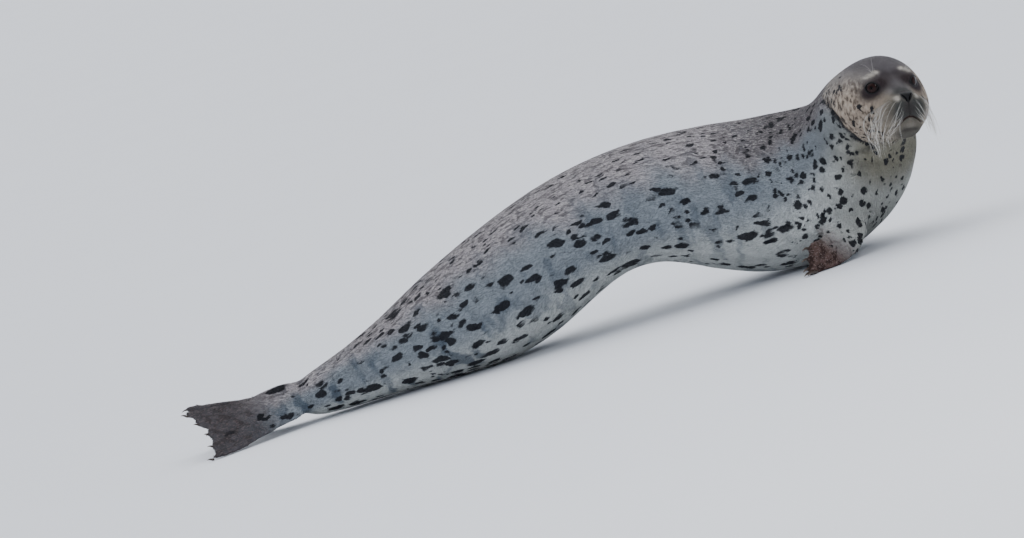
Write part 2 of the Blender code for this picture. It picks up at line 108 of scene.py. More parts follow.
class SealColourSettings(bpy.types.PropertyGroup):
    flank: colour_setting("Flank", "Silver ground of the flanks", (0.200, 0.226, 0.250))
    back: colour_setting("Back", "Mottled ground of the back", (0.300, 0.279, 0.292))
    # Belly: its own pale ground, made lighter still as painted light bounced up from the floor
    belly: colour_setting("Belly", "Pale ground of the belly", (0.47, 0.49, 0.48))
    # Throat: its own olive grey, made darker as painted shade under the chin
    throat: colour_setting("Throat", "Olive grey ground of throat and chest", (0.168, 0.157, 0.116))
    crown: colour_setting("Crown", "Dark top of the head", (0.085, 0.078, 0.084))
    cheek: colour_setting("Cheek", "Buff ground of the cheeks", (0.345, 0.285, 0.228))
    # Mask: the dark surround of the eyes; the same colour also paints the shade in the crease under the
    # lower lip
    mask: colour_setting("Mask", "Dark surround of the eyes", (0.028, 0.020, 0.022))
    # Brow: pale marks over the eyes; the same pale colour paints the highlights beside the nose and on the
    # lower lip
    brow: colour_setting("Brow", "Pale marks over the eyes and beside the nose", (0.44, 0.41, 0.36))
    muzzle: colour_setting("Muzzle", "Grey sides of the muzzle", (0.040, 0.043, 0.042))
    flipper: colour_setting("Flipper", "Brown of the flippers", (0.105, 0.058, 0.048))
    # Spot: near-black of the spots; also painted as shade along the crease under the jowl
    spot: colour_setting("Spot", "Near-black of the spots", (0.009, 0.010, 0.014))


class SealStageSettings(bpy.types.PropertyGroup):
    floor: colour_setting("Floor", "Plain pale floor", (0.83, 0.855, 0.90))
    distance: length_setting("Camera distance", "From the camera to the seal", 14.0)


SETTINGS = {
    "seal_skin": SealSkinSettings,
    "seal_face": SealFaceSettings,
    "seal_coat": SealCoatSettings,
    "seal_colours": SealColourSettings,
    "seal_stage": SealStageSettings,
}


# ---- helpers -------------------------------------------------------------------------------------
def unit(rows):
    return rows / np.maximum(np.linalg.norm(rows, axis=-1, keepdims=True), 1e-12)


def ease(value):
    """0 below 0, 1 above 1, and a smooth step between."""
    t = np.clip(value, 0, 1)
    return t * t * (3 - 2 * t)


def bell(away, width):
    """1 at 0, falling smoothly to 0 about two widths away."""
    return np.exp(-((away / width) ** 2))


def near(points, centre, reach):
    """1 at a centre, falling smoothly to 0 about two reaches away."""
    return np.exp(-(((points - np.array(centre)) / np.array(reach)) ** 2).sum(-1))


def read_rows(items, key, width, kind):
    """One row of numbers for each of a mesh's items, such as its corners."""
    rows = np.empty(len(items) * width, kind)
    items.foreach_get(key, rows)
    return rows.reshape(-1, width)


def corners(mesh):
    return read_rows(mesh.vertices, "co", 3, np.float32).astype(float)


def corner_normals(mesh):
    return read_rows(mesh.vertices, "normal", 3, np.float32).astype(float)


def edge_ends(mesh):
    return read_rows(mesh.edges, "vertices", 2, np.int32)


def triangles_of(mesh):
    mesh.calc_loop_triangles()
    return read_rows(mesh.loop_triangles, "vertices", 3, np.int32)


def set_corners(mesh, rows):
    mesh.vertices.foreach_set("co", rows.astype(np.float32).ravel())
    mesh.update()


def relax(values, ends, strength, rounds):
    """Moves each row towards the mean of its neighbours. strength is one number for each row."""
    one, other = ends.T
    size = len(values)
    count = np.bincount(ends.ravel(), minlength=size)[:, None]
    for _ in range(rounds):
        total = [np.bincount(one, v[other], size) + np.bincount(other, v[one], size) for v in values.T]
        values = values + strength[:, None] * (np.stack(total, 1) / np.maximum(count, 1) - values)
    return values


def surface_of(mesh):
    return BVHTree.FromPolygons([v.co for v in mesh.vertices], [p.vertices for p in mesh.polygons])


def select_only(obj):
    bpy.ops.object.select_all(action="DESELECT")
    obj.select_set(True)
    bpy.context.view_layer.objects.active = obj


def edit_whole(obj, operator, **settings):
    """Runs one of Blender's mesh operators on all of an object."""
    select_only(obj)
    bpy.ops.object.mode_set(mode="EDIT")
    bpy.ops.mesh.select_all(action="SELECT")
    operator(**settings)
    bpy.ops.object.mode_set(mode="OBJECT")


def fix_winding(obj):
    edit_whole(obj, bpy.ops.mesh.normals_make_consistent, inside=False)


def renumber(items, place, first=()):
    """Numbers a mesh's corners or faces by place, after the first ones. Operators number them by chance."""
    ranks = {item: rank for rank, item in enumerate(first)}
    others = sorted((item for item in items if item not in ranks), key=place)
    ranks.update({item: rank for rank, item in enumerate(others, len(ranks))})
    items.sort(key=ranks.get)


def corner_place(vert):
    return tuple(round(value, 5) for value in vert.co)


def face_place(face):
    return tuple(round(value, 5) for value in face.calc_center_median())


def new_object(name, data):
    obj = bpy.data.objects.new(name, data)
    bpy.context.scene.collection.objects.link(obj)
    return obj


VALUE_KEYS = {"FLOAT": "value", "FLOAT_VECTOR": "vector", "FLOAT_COLOR": "color"}


def add_attribute(mesh, name, rows, kind):
    """Stores one row for each corner, and for a colour its alpha of 1."""
    if kind == "FLOAT_COLOR":
        rows = np.concatenate([rows, np.ones((len(rows), 1))], 1)
    attribute = mesh.attributes.new(name, kind, "POINT")
    attribute.data.foreach_set(VALUE_KEYS[kind], rows.astype(np.float32).ravel())


def node_points(node):
    """A CAD node's corners, each once."""
    return np.unique(corners(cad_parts[node].data).round(5), axis=0)


def box_of(node):
    return [np.array(corner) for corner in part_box(node)]


def in_box(points, node, margin):
    low, high = box_of(node)
    return ((points > low - margin) & (points < high + margin)).all(1)


def middle_of(node):
    low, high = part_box(node)
    return np.array((low + high) / 2)


def claw_nodes(flipper):
    return [f"{flipper.replace('flipper', 'claw')}_{digit + 1}" for digit in range(DIGITS)]


# ---- the head's axes and the body's middle line --------------------------------------------------
class HeadAxes:
    """Ahead, left and up of the head, worked out from where the eyes and the nose are."""

    def __init__(self):
        eyes = [middle_of(name) for name in EYES]
        nose = middle_of("nose")
        left = unit(eyes[0] - eyes[1])
        down_nose = nose - (eyes[0] + eyes[1]) / 2
        down_nose = unit(down_nose - (down_nose @ left) * left)
        off_nose = np.cross(down_nose, left)
        drop = math.atan2(EYE_AT.z - NOSE_AT.z, NOSE_AT.x - EYE_AT.x)
        ahead = math.cos(drop) * down_nose + math.sin(drop) * off_nose
        up = math.cos(drop) * off_nose - math.sin(drop) * down_nose
        self.turn = np.stack([ahead, left, up])
        self.origin = nose - np.array(NOSE_AT) @ self.turn

    def into(self, points):
        return (points - self.origin) @ self.turn.T

    def out(self, points):
        return np.asarray(points) @ self.turn + self.origin

    def out_way(self, ways):
        return np.asarray(ways) @ self.turn


LINE_STEPS, LINE_ROUNDS = 400, 260  # corners of the middle line, and rounds of smoothing
BEND_BLEND = 0.075  # on the inside of a bend, places are blended over about this far
AT_ONCE = 20000  # points are placed along the line in batches, to save memory


def run_along(places):
    """How far along a line each of its corners is."""
    return np.concatenate([[0], np.cumsum(np.linalg.norm(np.diff(places, axis=0), axis=1))])


def rough_line(clouds, joins, nose):
    """The middle line's corners beyond the tail, at each join, and at the quarters of each part."""
    tail = clouds[0][np.linalg.norm(clouds[0] - joins[0], axis=1).argmax()]
    knots = [tail, *joins, nose]
    places = [tail + (tail - clouds[0].mean(0)) * 0.9, tail]
    for cloud, start, end in zip(clouds, knots, knots[1:]):
        along = (cloud - start) @ (end - start) / ((end - start) @ (end - start))
        places += [cloud[np.abs(along - share) < 0.13].mean(0) for share in (0.25, 0.5, 0.75)]
        places.append(end)
    return np.array(places)


class MiddleLine:
    """The line up the middle of the body, from beyond the tail to the nose, and places told along it."""

    def __init__(self, head):
        clouds = [node_points(node) for node in BODY]
        joins = []
        for here, there in zip(clouds, clouds[1:]):
            gaps = np.linalg.norm(here[:, None] - there[None], axis=2).min(1)
            joins.append(here[gaps < 0.001].mean(0))
        rough = rough_line(clouds, joins, head.out(NOSE_AT))
        run = run_along(rough)
        fine = np.linspace(0, run[-1], LINE_STEPS)
        places = np.stack([np.interp(fine, run, rough[:, k]) for k in range(3)], 1)
        ends = np.stack([np.arange(LINE_STEPS - 1), np.arange(1, LINE_STEPS)], 1)
        strength = np.full(LINE_STEPS, 0.5)
        strength[[0, -1]] = 0
        self.places = relax(places, ends, strength, LINE_ROUNDS)
        self.ways = unit(np.gradient(self.places, axis=0))
        self.run = run_along(self.places)
        self.joins = [self.run_of(join) for join in joins]
        chest_end, neck_end = self.joins[2:]
        nod = ease((self.run - chest_end) / (neck_end - chest_end))[:, None]
        up = (1 - nod) * np.array([0, 0, 1.0]) + nod * head.turn[2]
        self.left = unit(np.cross(up, self.ways))
        self.up = np.cross(self.ways, self.left)

    def run_of(self, point):
        return self.run[np.linalg.norm(self.places - point, axis=1).argmin()]

    def read(self, points, *tables):
        """Rows of tables kept along the line, read at each point, and blended where the body bends."""
        found = [np.empty((len(points), table.shape[1])) for table in tables]
        for start in range(0, len(points), AT_ONCE):
            part = points[start : start + AT_ONCE]
            gaps = (part**2).sum(1)[:, None] - 2 * part @ self.places.T + (self.places**2).sum(1)
            share = np.exp(-(gaps - gaps.min(1, keepdims=True)) / BEND_BLEND**2)
            share /= share.sum(1, keepdims=True)
            for rows, table in zip(found, tables):
                rows[start : start + AT_ONCE] = share @ table
        return found

    def place(self, points):
        """How far along, how far left and how far above the line each point is."""
        tables = self.places, self.run[:, None], self.ways, self.left, self.up
        places, run, ways, left, up = self.read(points, *tables)
        away = points - places
        run = run[:, 0] + (away * unit(ways)).sum(1)
        return np.stack([run, (away * unit(left)).sum(1), (away * unit(up)).sum(1)], 1)


def both_sides(p):
    """Places in head axes, with those on the right laid over to the left."""
    return p * (1, 0, 1) + np.abs(p) * (0, 1, 0)


head = HeadAxes()
line = MiddleLine(head)


# ---- the skin ------------------------------------------------------------------------------------
REACH = 0.005  # how far pieces of flesh grow into each other before they are cast as one
CUT = 0.0016  # more than the width of the cuts between them
SKIN_FLOOR = 0.0006  # least height of the skin over the floor, where the animal rests on it


def grown_copy(node, others):
    """A copy of a CAD node whose corners that face another node, across the cut, reach into it."""
    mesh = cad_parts[node].data.copy()
    obj = new_object("flesh", mesh)
    edit_whole(obj, bpy.ops.mesh.remove_doubles, threshold=1e-5)
    rows = corners(mesh)
    for other in others:
        for i, row in enumerate(rows):
            spot = other.find_nearest(row, CUT)[0]
            if spot is not None:
                rows[i] = np.array(spot) + unit(np.array(spot) - row) * REACH
    set_corners(mesh, rows)
    return obj


def cast_form(grain):
    """All flesh as one closed smooth surface, with the eyes' sockets filled."""
    names = (*FLESH, *EYES)
    surfaces = {name: surface_of(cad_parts[name].data) for name in names}
    boxes = {name: box_of(name) for name in names}
    copies = []
    for name, (low, high) in boxes.items():
        touching = [
            surfaces[other]
            for other, (other_low, other_high) in boxes.items()
            if other != name and (low < other_high + 0.002).all() and (other_low < high + 0.002).all()
        ]
        copies.append(grown_copy(name, touching))
    select_only(copies[0])
    for copy in copies:
        copy.select_set(True)
    bpy.ops.object.join()
    remesh(copies[0], grain)
    return keep_outer_shell(copies[0])


def remesh(obj, grain):
    select_only(obj)
    bpy.ops.object.modifier_add(type="REMESH")
    modifier = obj.modifiers[-1]
    modifier.mode = "VOXEL"
    modifier.voxel_size = grain
    bpy.ops.object.modifier_apply(modifier=modifier.name)


def keep_outer_shell(obj):
    """Removes what the remesh has closed off inside, and returns the rest."""
    edit_whole(obj, bpy.ops.mesh.separate, type="LOOSE")
    *inner, outer = sorted(bpy.context.selected_objects, key=lambda shell: len(shell.data.vertices))
    for shell in inner:
        bpy.data.objects.remove(shell)
    return outer


def limb_share(points):
    """0 on the trunk, rising to 1 a few centimetres out along a limb."""
    trunk = [surface_of(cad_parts[name].data) for name in BODY]
    share = np.zeros(len(points))
    for limb in LIMBS:
        for i in np.flatnonzero(in_box(points, limb, 0.004)):
            share[i] = min(tree.find_nearest(points[i])[3] or 0 for tree in trunk)
    return ease(share / 0.03)


def smooth_form(form):
    """Takes the facets out of the form: much on the trunk, less on the head, least on the flippers."""
    mesh = form.data
    rows, ends = corners(mesh), edge_ends(mesh)
    for _ in range(2):
        limb = limb_share(rows)
        past_neck = ease((line.place(rows)[:, 0] - line.joins[2]) / 0.1)
        face = ease((head.into(rows)[:, 0] + 0.02) / 0.08) * past_neck
        strength = 0.5 * (1 - 0.94 * limb) * (1 - 0.80 * face)
        rows = relax(rows, ends, strength, 45)
    set_corners(mesh, rows)


def split_faces(mesh, wanted, form_surface):
    """Splits each wanted face into four, and lays the corners there on the form."""
    work = bmesh.new()
    work.from_mesh(mesh)
    work.faces.index_update()
    chosen = wanted(np.array([face.calc_center_median() for face in work.faces]))
    edges = [edge for edge in work.edges if any(chosen[face.index] for face in edge.link_faces)]
    bmesh.ops.subdivide_edges(work, edges=edges, cuts=1, use_grid_fill=True, use_single_edge=True)
    work.to_mesh(mesh)
    work.free()
    rows, ends = corners(mesh), edge_ends(mesh)
    here = wanted(rows)
    rows = relax(rows, ends, 0.5 * here, 3)
    for i in np.flatnonzero(here):
        rows[i] = form_surface.find_nearest(rows[i])[0]
    set_corners(mesh, rows)


Eye = namedtuple("Eye", "middle radius gaze across over")  # across is towards the nose
EYE_TILT = math.radians(9)  # the inner corner is lower
ALMOND = 1.75  # 2 would make the opening an ellipse, and less gives it corners
FAR_OFF = 99.0


def eye_frame(name):
    low, high = box_of(name)
    side = 1 if name == "eye_left" else -1
    gaze = unit(head.out_way(np.array([0.049, side * 0.047, 0.003])))
    inwards = unit(np.cross(head.turn[2], gaze) * -side)
    above = np.cross(gaze, inwards) * side
    above = unit(above) * np.sign(unit(above) @ head.turn[2])
    across = math.cos(EYE_TILT) * inwards - math.sin(EYE_TILT) * above
    over = math.sin(EYE_TILT) * inwards + math.cos(EYE_TILT) * above
    return Eye((low + high) / 2, float((high - low).mean()) / 2, gaze, across, over)


def opening_share(points, eye, settings):
    """Below 1 inside the opening of the lids, 1 on its edge, and more outside."""
    away = points - eye.middle
    u = np.abs(away @ eye.across) / (settings.eye_width / 2)
    w = np.abs(away @ eye.over) / (settings.eye_height / 2)
    share = (u**ALMOND + w**ALMOND) ** (1 / ALMOND)
    return np.where(away @ eye.gaze > 0, share, FAR_OFF)


def is_detail(points):
    """Where the finest faces are needed: eyes, nose and mouth."""
    p = head.into(points)
    eyes = np.minimum(*(np.linalg.norm(points - middle_of(name), axis=1) for name in EYES))
    nose = np.linalg.norm((p - np.array(NOSE_AT)) / (1, 1.15, 1), axis=1)
    mouth = (np.abs(lip_height(p)) < 0.006) & (p[:, 0] > 0.100) & (np.abs(lip_share(p)) < 1.05)
    return (eyes < 0.0265) | (nose < 0.0185) | mouth


def is_face(points):
    p = head.into(points)
    ear = np.linalg.norm(both_sides(p) - np.array(EAR_AT), axis=1)
    return ((p[:, 0] > 0.062) & (np.abs(p).max(1) < 0.17)) | (ear < 0.014)


def is_fine(points):
    """The head, the folded neck and the outer flippers."""
    p = head.into(points)
    run = line.place(points)[:, 0]
    on_head = (p[:, 0] > -0.035) & (np.linalg.norm(p, axis=1) < 0.19)
    neck = (run > line.joins[3] - 0.055) & (run < line.joins[3] + 0.03) & (p[:, 2] < 0.03)
    return on_head | (neck & (p[:, 0] > -0.12)) | (flipper_share(points) > 0.55)


MOUTH_SPREAD = math.radians(42)  # half the fan that the mouth takes up
MOUTH_BEND = math.radians(20)  # about half the fan of its level middle
MOUTH_DROOP = 0.30  # how much lower the corners are than the middle, as a part of the reach from the hinge


def lip_share(p):
    """0 at the middle of the mouth, and 1 or -1 at its corners, for places in head axes."""
    return np.arctan2(p[:, 1], p[:, 0] - MOUTH_HINGE.x) / MOUTH_SPREAD


def lip_height(p):
    """How far above the line where the lips meet, for places in head axes."""
    reach = np.hypot(p[:, 1], p[:, 0] - MOUTH_HINGE.x)
    drop = MOUTH_DROOP * (1 - bell(lip_share(p) * MOUTH_SPREAD, MOUTH_BEND))
    return p[:, 2] - MOUTH_HINGE.z + reach * drop


# ---- flippers ------------------------------------------------------------------------------------
class Flipper:
    """A flipper's root, the ends of its digits and its upper side, worked out from its claws."""

    def __init__(self, name):
        self.name = name
        points = node_points(name)
        trunk = surface_of(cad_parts["rump" if "hind" in name else "chest"].data)
        gaps = np.array([trunk.find_nearest(p)[3] for p in points])
        self.root = points[gaps <= np.quantile(gaps, 0.12)].mean(0)
        self.tips = np.array([middle_of(claw) for claw in claw_nodes(name)])
        middle = self.tips.mean(0)
        self.length = np.linalg.norm(middle - self.root)
        self.way = (middle - self.root) / self.length
        self.across = unit(self.tips[0] - self.tips[-1])
        self.normal = unit(np.cross(self.way, self.across))
        self.wrist = self.root + self.way * self.length * 0.30
        self.surface = surface_of(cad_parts[name].data)

    def share(self, points):
        """0 at the root and 1 at the claws, and 0 off the flipper."""
        on_it = np.zeros(len(points))
        for i in np.flatnonzero(in_box(points, self.name, 0.012)):
            on_it[i] = 1 - (self.surface.find_nearest(points[i])[3] - 0.006) / 0.008
        return np.clip((points - self.root) @ self.way / self.length, 0, 1.3) * ease(on_it)

    def digit_gap(self, points):
        """How far each point is from the nearest digit's middle line, and that line's direction."""
        best, ways = np.full(len(points), 9.0), np.tile(self.way, (len(points), 1))
        for tip in self.tips:
            start = self.wrist + (tip - self.tips.mean(0)) * 0.35
            way = unit(tip - start)
            away = points - start
            away = away - (away @ way)[:, None] * way
            away -= (away @ self.normal)[:, None] * self.normal
            gap = np.linalg.norm(away, axis=1)
            ways[gap < best] = way
            best = np.minimum(best, gap)
        return best, ways


FLIPPERS = {name: Flipper(name) for name in LIMBS if name != "tail"}


def flipper_share(points):
    return np.max([flipper.share(points) for flipper in FLIPPERS.values()], axis=0)


# ---- shaping the skin ----------------------------------------------------------------------------
def coat_depth(points, settings):
    """How deep the skin lies in the solids: less where the coat is shorter."""
    p = head.into(points)
    face = ease((p[:, 0] + 0.02) / 0.12) * ease((0.2 - np.linalg.norm(p, axis=1)) / 0.05)
    limb = ease(flipper_share(points) * 2)
    depth = settings.coat_depth * (1 - 0.55 * face) * (1 - 0.5 * limb)
    bare = near(p, NOSE_AT, (0.02, 0.025, 0.02))
    return depth * (1 - 0.7 * bare)


Fold = namedtuple("Fold", "run width depth side slant")
FOLDS = (  # metres past the neck's end, width, share of the fold depth, side (-1 is right), and slant
    Fold(-0.052, 0.0130, 0.20, -1, 0.14),
    Fold(-0.110, 0.0160, 0.16, -1, 0.10),
    Fold(-0.020, 0.0120, 0.22, 1, -0.10),
    Fold(-0.080, 0.0150, 0.14, 1, -0.12),
)
JOWL_TURN = -0.072  # the height on the head under which the jowls' edge runs back in a straight line
JOWL_CURVE, JOWL_SLOPE = 14, 0.62  # how fast it runs back over that height, and under it


def jowl_edge(p):
    """How far ahead the jowls end, at each height of the head."""
    over, under = np.maximum(p[:, 2] - JOWL_TURN, 0), np.maximum(JOWL_TURN - p[:, 2], 0)
    return np.maximum(0.019 - JOWL_CURVE * over**2 - JOWL_SLOPE * under, -0.085)


def jowl_crease(points):
    """The deepest fold: it parts the right cheek, which bulges over it, from the neck."""
    p = head.into(points)
    over = p[:, 2] - JOWL_TURN
    steep = np.hypot(1, np.where(over > 0, 2 * JOWL_CURVE * over, JOWL_SLOPE))
    width = 0.0075 * (1 + 0.25 * np.sin(p[:, 2] * 160 + 1))
    away = (p[:, 0] - jowl_edge(p)) / (width * steep)
    here = ease((0.004 - p[:, 1]) / 0.04) * (np.abs(p).max(1) < 0.2)
    here *= ease((p[:, 2] + 0.160) / 0.035) * ease((0.010 - p[:, 2]) / 0.03)
    return here * (bell(away, 1) - 0.30 * bell(away - 2.1, 1.1))


def fold_depth(points):
    """How deep the neck's folds are at each point, as a share of the deepest."""
    run, aside, rise = line.place(points).T
    around = np.arctan2(rise, aside)
    depth = jowl_crease(points)
    for fold in FOLDS:
        wander = 0.006 * np.sin(around * 3 + fold.run * 90) + fold.slant * np.minimum(rise, 0.03)
        away = (run - line.joins[3] - fold.run - wander) / fold.width
        facing = ease((fold.side * aside / np.hypot(aside, rise) + 0.10) / 0.8)
        fades = ease((0.075 - rise) / 0.05)
        depth += fold.depth * facing * fades * (bell(away, 1) - 0.35 * bell(np.abs(away) - 1.9, 0.9))
    return depth


def shape_flippers(rows, normals):
    """Raises the digits and sinks the webs between them."""
    rise = np.zeros(len(rows))
    for flipper in FLIPPERS.values():
        gap, _ = flipper.digit_gap(rows)
        width = np.linalg.norm(flipper.tips[0] - flipper.tips[-1]) / 8 + 0.001
        ridge = 0.0016 * bell(gap, width) - 0.0012 * bell(gap - 2.1 * width, width)
        rise += ridge * ease((flipper.share(rows) - 0.35) / 0.3)
    return rows + rise[:, None] * normals


Form = namedtuple("Form", "rise centre reach")
FACE_FORMS = (  # small swellings and hollows, in head axes, on both sides
    Form(0.0020, (0.146, 0.022, -0.036), (0.020, 0.013, 0.015)),  # whisker pads
    Form(0.0016, (0.088, 0.036, 0.044), (0.014, 0.016, 0.007)),  # brows
    Form(-0.0016, (0.114, 0.034, 0.004), (0.010, 0.010, 0.012)),  # in front of the eyes
    Form(-0.0014, (0.128, 0.026, -0.072), (0.012, 0.016, 0.004)),  # beside the lower lip
    Form(0.0012, (0.152, 0.0, -0.071), (0.014, 0.014, 0.004)),  # lower lip
    Form(-0.0019, (0.149, 0.0, -0.0800), (0.016, 0.019, 0.0028)),  # between lip and chin
    Form(-0.0022, (0.118, 0.0, -0.103), (0.020, 0.03, 0.005)),  # under the chin
)
FOLLICLE_ROWS = (-0.050, -0.0415, -0.033, -0.0245)  # heights of the ridges on the pads


def add_lips(rise, p):
    """A groove between the lips, a fuller upper lip, and a dimple at the mouth's corners."""
    front = ease((p[:, 0] - 0.05) / 0.03)
    above, share = lip_height(p), np.abs(lip_share(p))
    lips = front * (p[:, 0] > 0.09) * ease((1.08 - share) / 0.12)
    rise -= 0.0042 * bell(above, 0.0014) * lips * (1 - 0.6 * ease((share - 0.5) / 0.4))
    rise += 0.0010 * bell(above - 0.0050, 0.0035) * lips
    rise += 0.0008 * bell(above + 0.0045, 0.0032) * lips
    rise -= 0.0020 * bell(share - 1.02, 0.07) * bell(above, 0.006) * front


def add_pads(rise, p):
    """A groove between the whisker pads, a crease behind them, and rows of follicles."""
    front = ease((p[:, 0] - 0.05) / 0.03)
    mirrored, height = both_sides(p), p[:, 2]
    groove = front * ease((height + 0.062) / 0.010) * ease((-0.022 - height) / 0.006)
    rise -= 0.0030 * bell(p[:, 1], 0.0018) * groove
    pad_middle, pad_reach = np.array((0.138, 0.024, -0.038)), np.array((0.034, 0.026, 0.027))
    ring = np.linalg.norm((mirrored - pad_middle) / pad_reach, axis=1)
    rise -= 0.0016 * bell(ring - 1.0, 0.16) * ease((mirrored[:, 1] - 0.028) / 0.012) * front
    on_pad = near(mirrored, (0.138, 0.034, -0.038), (0.016, 0.013, 0.03))
    for row in FOLLICLE_ROWS:
        rise += 0.0006 * bell(height - row, 0.0022) * on_pad


def add_nose(rise, p):
    """A raised rim over two nostrils that slant down towards each other, and a groove under them."""
    across, up = both_sides(p)[:, 1], p[:, 2] - NOSE_AT.z
    on_nose = ease((p[:, 0] - 0.135) / 0.008)
    slope = np.clip((up + 0.0085) / 0.0135, -0.2, 1.3)
    slit = across - (0.0032 + 0.0068 * slope - 0.0020 * np.sin(np.clip(slope, 0, 1) * math.pi))
    length = ease((slope + 0.10) / 0.2) * ease((1.12 - slope) / 0.2)
    rise -= 0.0062 * bell(slit, 0.00115) * length * on_nose
    rise += 0.0011 * bell(slit - 0.0032, 0.0016) * length * on_nose
    under_nose = ease((0.004 - up) / 0.008) * on_nose * (up > -0.02)
    rise -= 0.0009 * bell(across, 0.0012) * under_nose


def add_bags_and_ears(rise, p):
    """A crease under each eye, and for each ear only a small hole with a lip in front."""
    mirrored = both_sides(p)
    crease = p[:, 2] + 0.010 + 0.55 * (mirrored[:, 1] - 0.052)
    bag = near(mirrored, (0.092, 0.056, -0.012), (0.02, 0.016, 0.02))
    rise -= 0.0012 * bell(crease, 0.003) * bag
    hole = np.linalg.norm((mirrored - np.array(EAR_AT)) / (1.35, 1, 0.8), axis=1)
    rise -= 0.0050 * bell(hole, 0.0030)
    rise += 0.0012 * bell(hole - 0.0062, 0.0022)


def shape_face(rows, normals):
    """Whisker pads, lips, nose, brows and ears, told in head axes."""
    p = head.into(rows)
    out = head.into(rows + normals) - p
    rise = np.zeros(len(p))
    for form in FACE_FORMS:
        rise += form.rise * near(both_sides(p), form.centre, form.reach)
    for add_part in (add_lips, add_pads, add_nose, add_bags_and_ears):  # each adds to rise in place
        add_part(rise, p)
    return head.out(p + rise[:, None] * out)


def shape_lids(rows, eye, settings):
    """Lays the skin round an eye over its ball, with a fold in the upper lid and a bag under the lower."""
    away = rows - eye.middle
    distance = np.linalg.norm(away, axis=1)
    share = opening_share(rows, eye, settings)
    facing = away @ eye.gaze / np.maximum(distance, 1e-9)
    lid = ease((facing - 0.15) / 0.4)
    least = (eye.radius + settings.lid) * lid
    soft = 0.0012  # how softly the skin turns from its own form to the ball's
    laid = np.where(lid > 0, least + np.logaddexp(0, (distance - least) / soft) * soft, distance)
    upper = ease((away @ eye.over) / 0.004)
    fold = 0.0013 * bell(share - 1.85, 0.13) * upper
    bag = 0.0007 * bell(share - 1.75, 0.15) * (1 - upper)
    ridge = 0.0004 * bell(share - 1.35, 0.18)
    laid += (ridge - fold - bag) * lid
    scale = np.where(share < 6, laid / np.maximum(distance, 1e-9), 1.0)
    return eye.middle + away * scale[:, None]


def cut_opening(work, eye, settings):
    """Takes out the faces between the lids, and lays the rim on the opening's edge over the ball."""
    inside = opening_share(np.array([face.calc_center_median() for face in work.faces]), eye, settings) < 1
    bmesh.ops.delete(work, geom=[f for f, is_in in zip(work.faces, inside) if is_in], context="FACES")
    rim = [vert for vert in work.verts if vert.is_boundary]
    rows = np.array([vert.co for vert in rim])
    away = rows - eye.middle
    flat = away - (away @ eye.gaze)[:, None] * eye.gaze
    flat /= opening_share(rows, eye, settings)[:, None]
    depth = np.sqrt(np.maximum((eye.radius + settings.lid * 0.75) ** 2 - (flat**2).sum(1), 0))
    for vert, place in zip(rim, eye.middle + flat + depth[:, None] * eye.gaze):
        vert.co = place
    rim = set(rim)
    beside = {vert for face in work.faces if any(v in rim for v in face.verts) for vert in face.verts}
    bmesh.ops.smooth_vert(work, verts=[vert for vert in beside if not vert.is_boundary], factor=0.5)


def turn_in_rim(work, eye, settings):
    """Closes the skin behind the lids, under the ball's surface."""
    edges = [edge for edge in work.edges if edge.is_boundary]
    for share_of_ball, inwards in ((1 + settings.lid * 0.2 / eye.radius, 0.982), (0.93, 0.985)):
        made = bmesh.ops.extrude_edge_only(work, edges=edges)["geom"]
        edges = [item for item in made if isinstance(item, bmesh.types.BMEdge)]
        for vert in [item for item in made if isinstance(item, bmesh.types.BMVert)]:
            away = np.array(vert.co) - eye.middle
            flat = (away - (away @ eye.gaze) * eye.gaze) * inwards
            reach = math.sqrt(max((eye.radius * share_of_ball) ** 2 - (flat**2).sum(), 0))
            vert.co = eye.middle + flat + reach * eye.gaze
    bmesh.ops.holes_fill(work, edges=edges, sides=0)


def open_eye(obj, eye, settings):
    """Cuts the opening between the lids, with a rim that turns in behind them."""
    work = bmesh.new()
    work.from_mesh(obj.data)
    cut_opening(work, eye, settings)
    verts, faces = list(work.verts), list(work.faces)
    turn_in_rim(work, eye, settings)
    renumber(work.verts, corner_place, verts)
    renumber(work.faces, face_place, faces)
    bmesh.ops.recalc_face_normals(work, faces=work.faces)
    work.to_mesh(obj.data)
    work.free()


def split_skin(settings):
    """The form's surface in even faces, which are finer where the skin has detail."""
    form = cast_form(settings.form_grain)
    smooth_form(form)
    skin = new_object("skin", form.data.copy())
    remesh(skin, settings.skin_grain)
    skin = keep_outer_shell(skin)
    skin.name = "skin"
    form_surface = surface_of(form.data)
    for wanted in (is_fine, is_face, is_detail):
        split_faces(skin.data, wanted, form_surface)
    bpy.data.objects.remove(form)
    return skin


def build_skin():
    skin_settings = bpy.context.scene.seal_skin
    face_settings = bpy.context.scene.seal_face
    skin = split_skin(skin_settings)
    mesh = skin.data
    rows = corners(mesh)
    rows = relax(rows, edge_ends(mesh), 0.35 * (1 - 0.8 * is_detail(rows)), 2)
    set_corners(mesh, rows)
    rows -= corner_normals(mesh) * coat_depth(rows, skin_settings)[:, None]
    set_corners(mesh, rows)
    rows -= corner_normals(mesh) * (skin_settings.fold_depth * fold_depth(rows))[:, None]
    for shape in (shape_flippers, shape_face):
        rows = shape(rows, corner_normals(mesh))
        set_corners(mesh, rows)
    eyes = [eye_frame(name) for name in EYES]
    for eye in eyes:
        rows = shape_lids(rows, eye, face_settings)
    rows[:, 2] = np.maximum(rows[:, 2], SKIN_FLOOR)
    set_corners(mesh, rows)
    for eye in eyes:
        open_eye(skin, eye, face_settings)
    mesh.shade_smooth()
    return skin
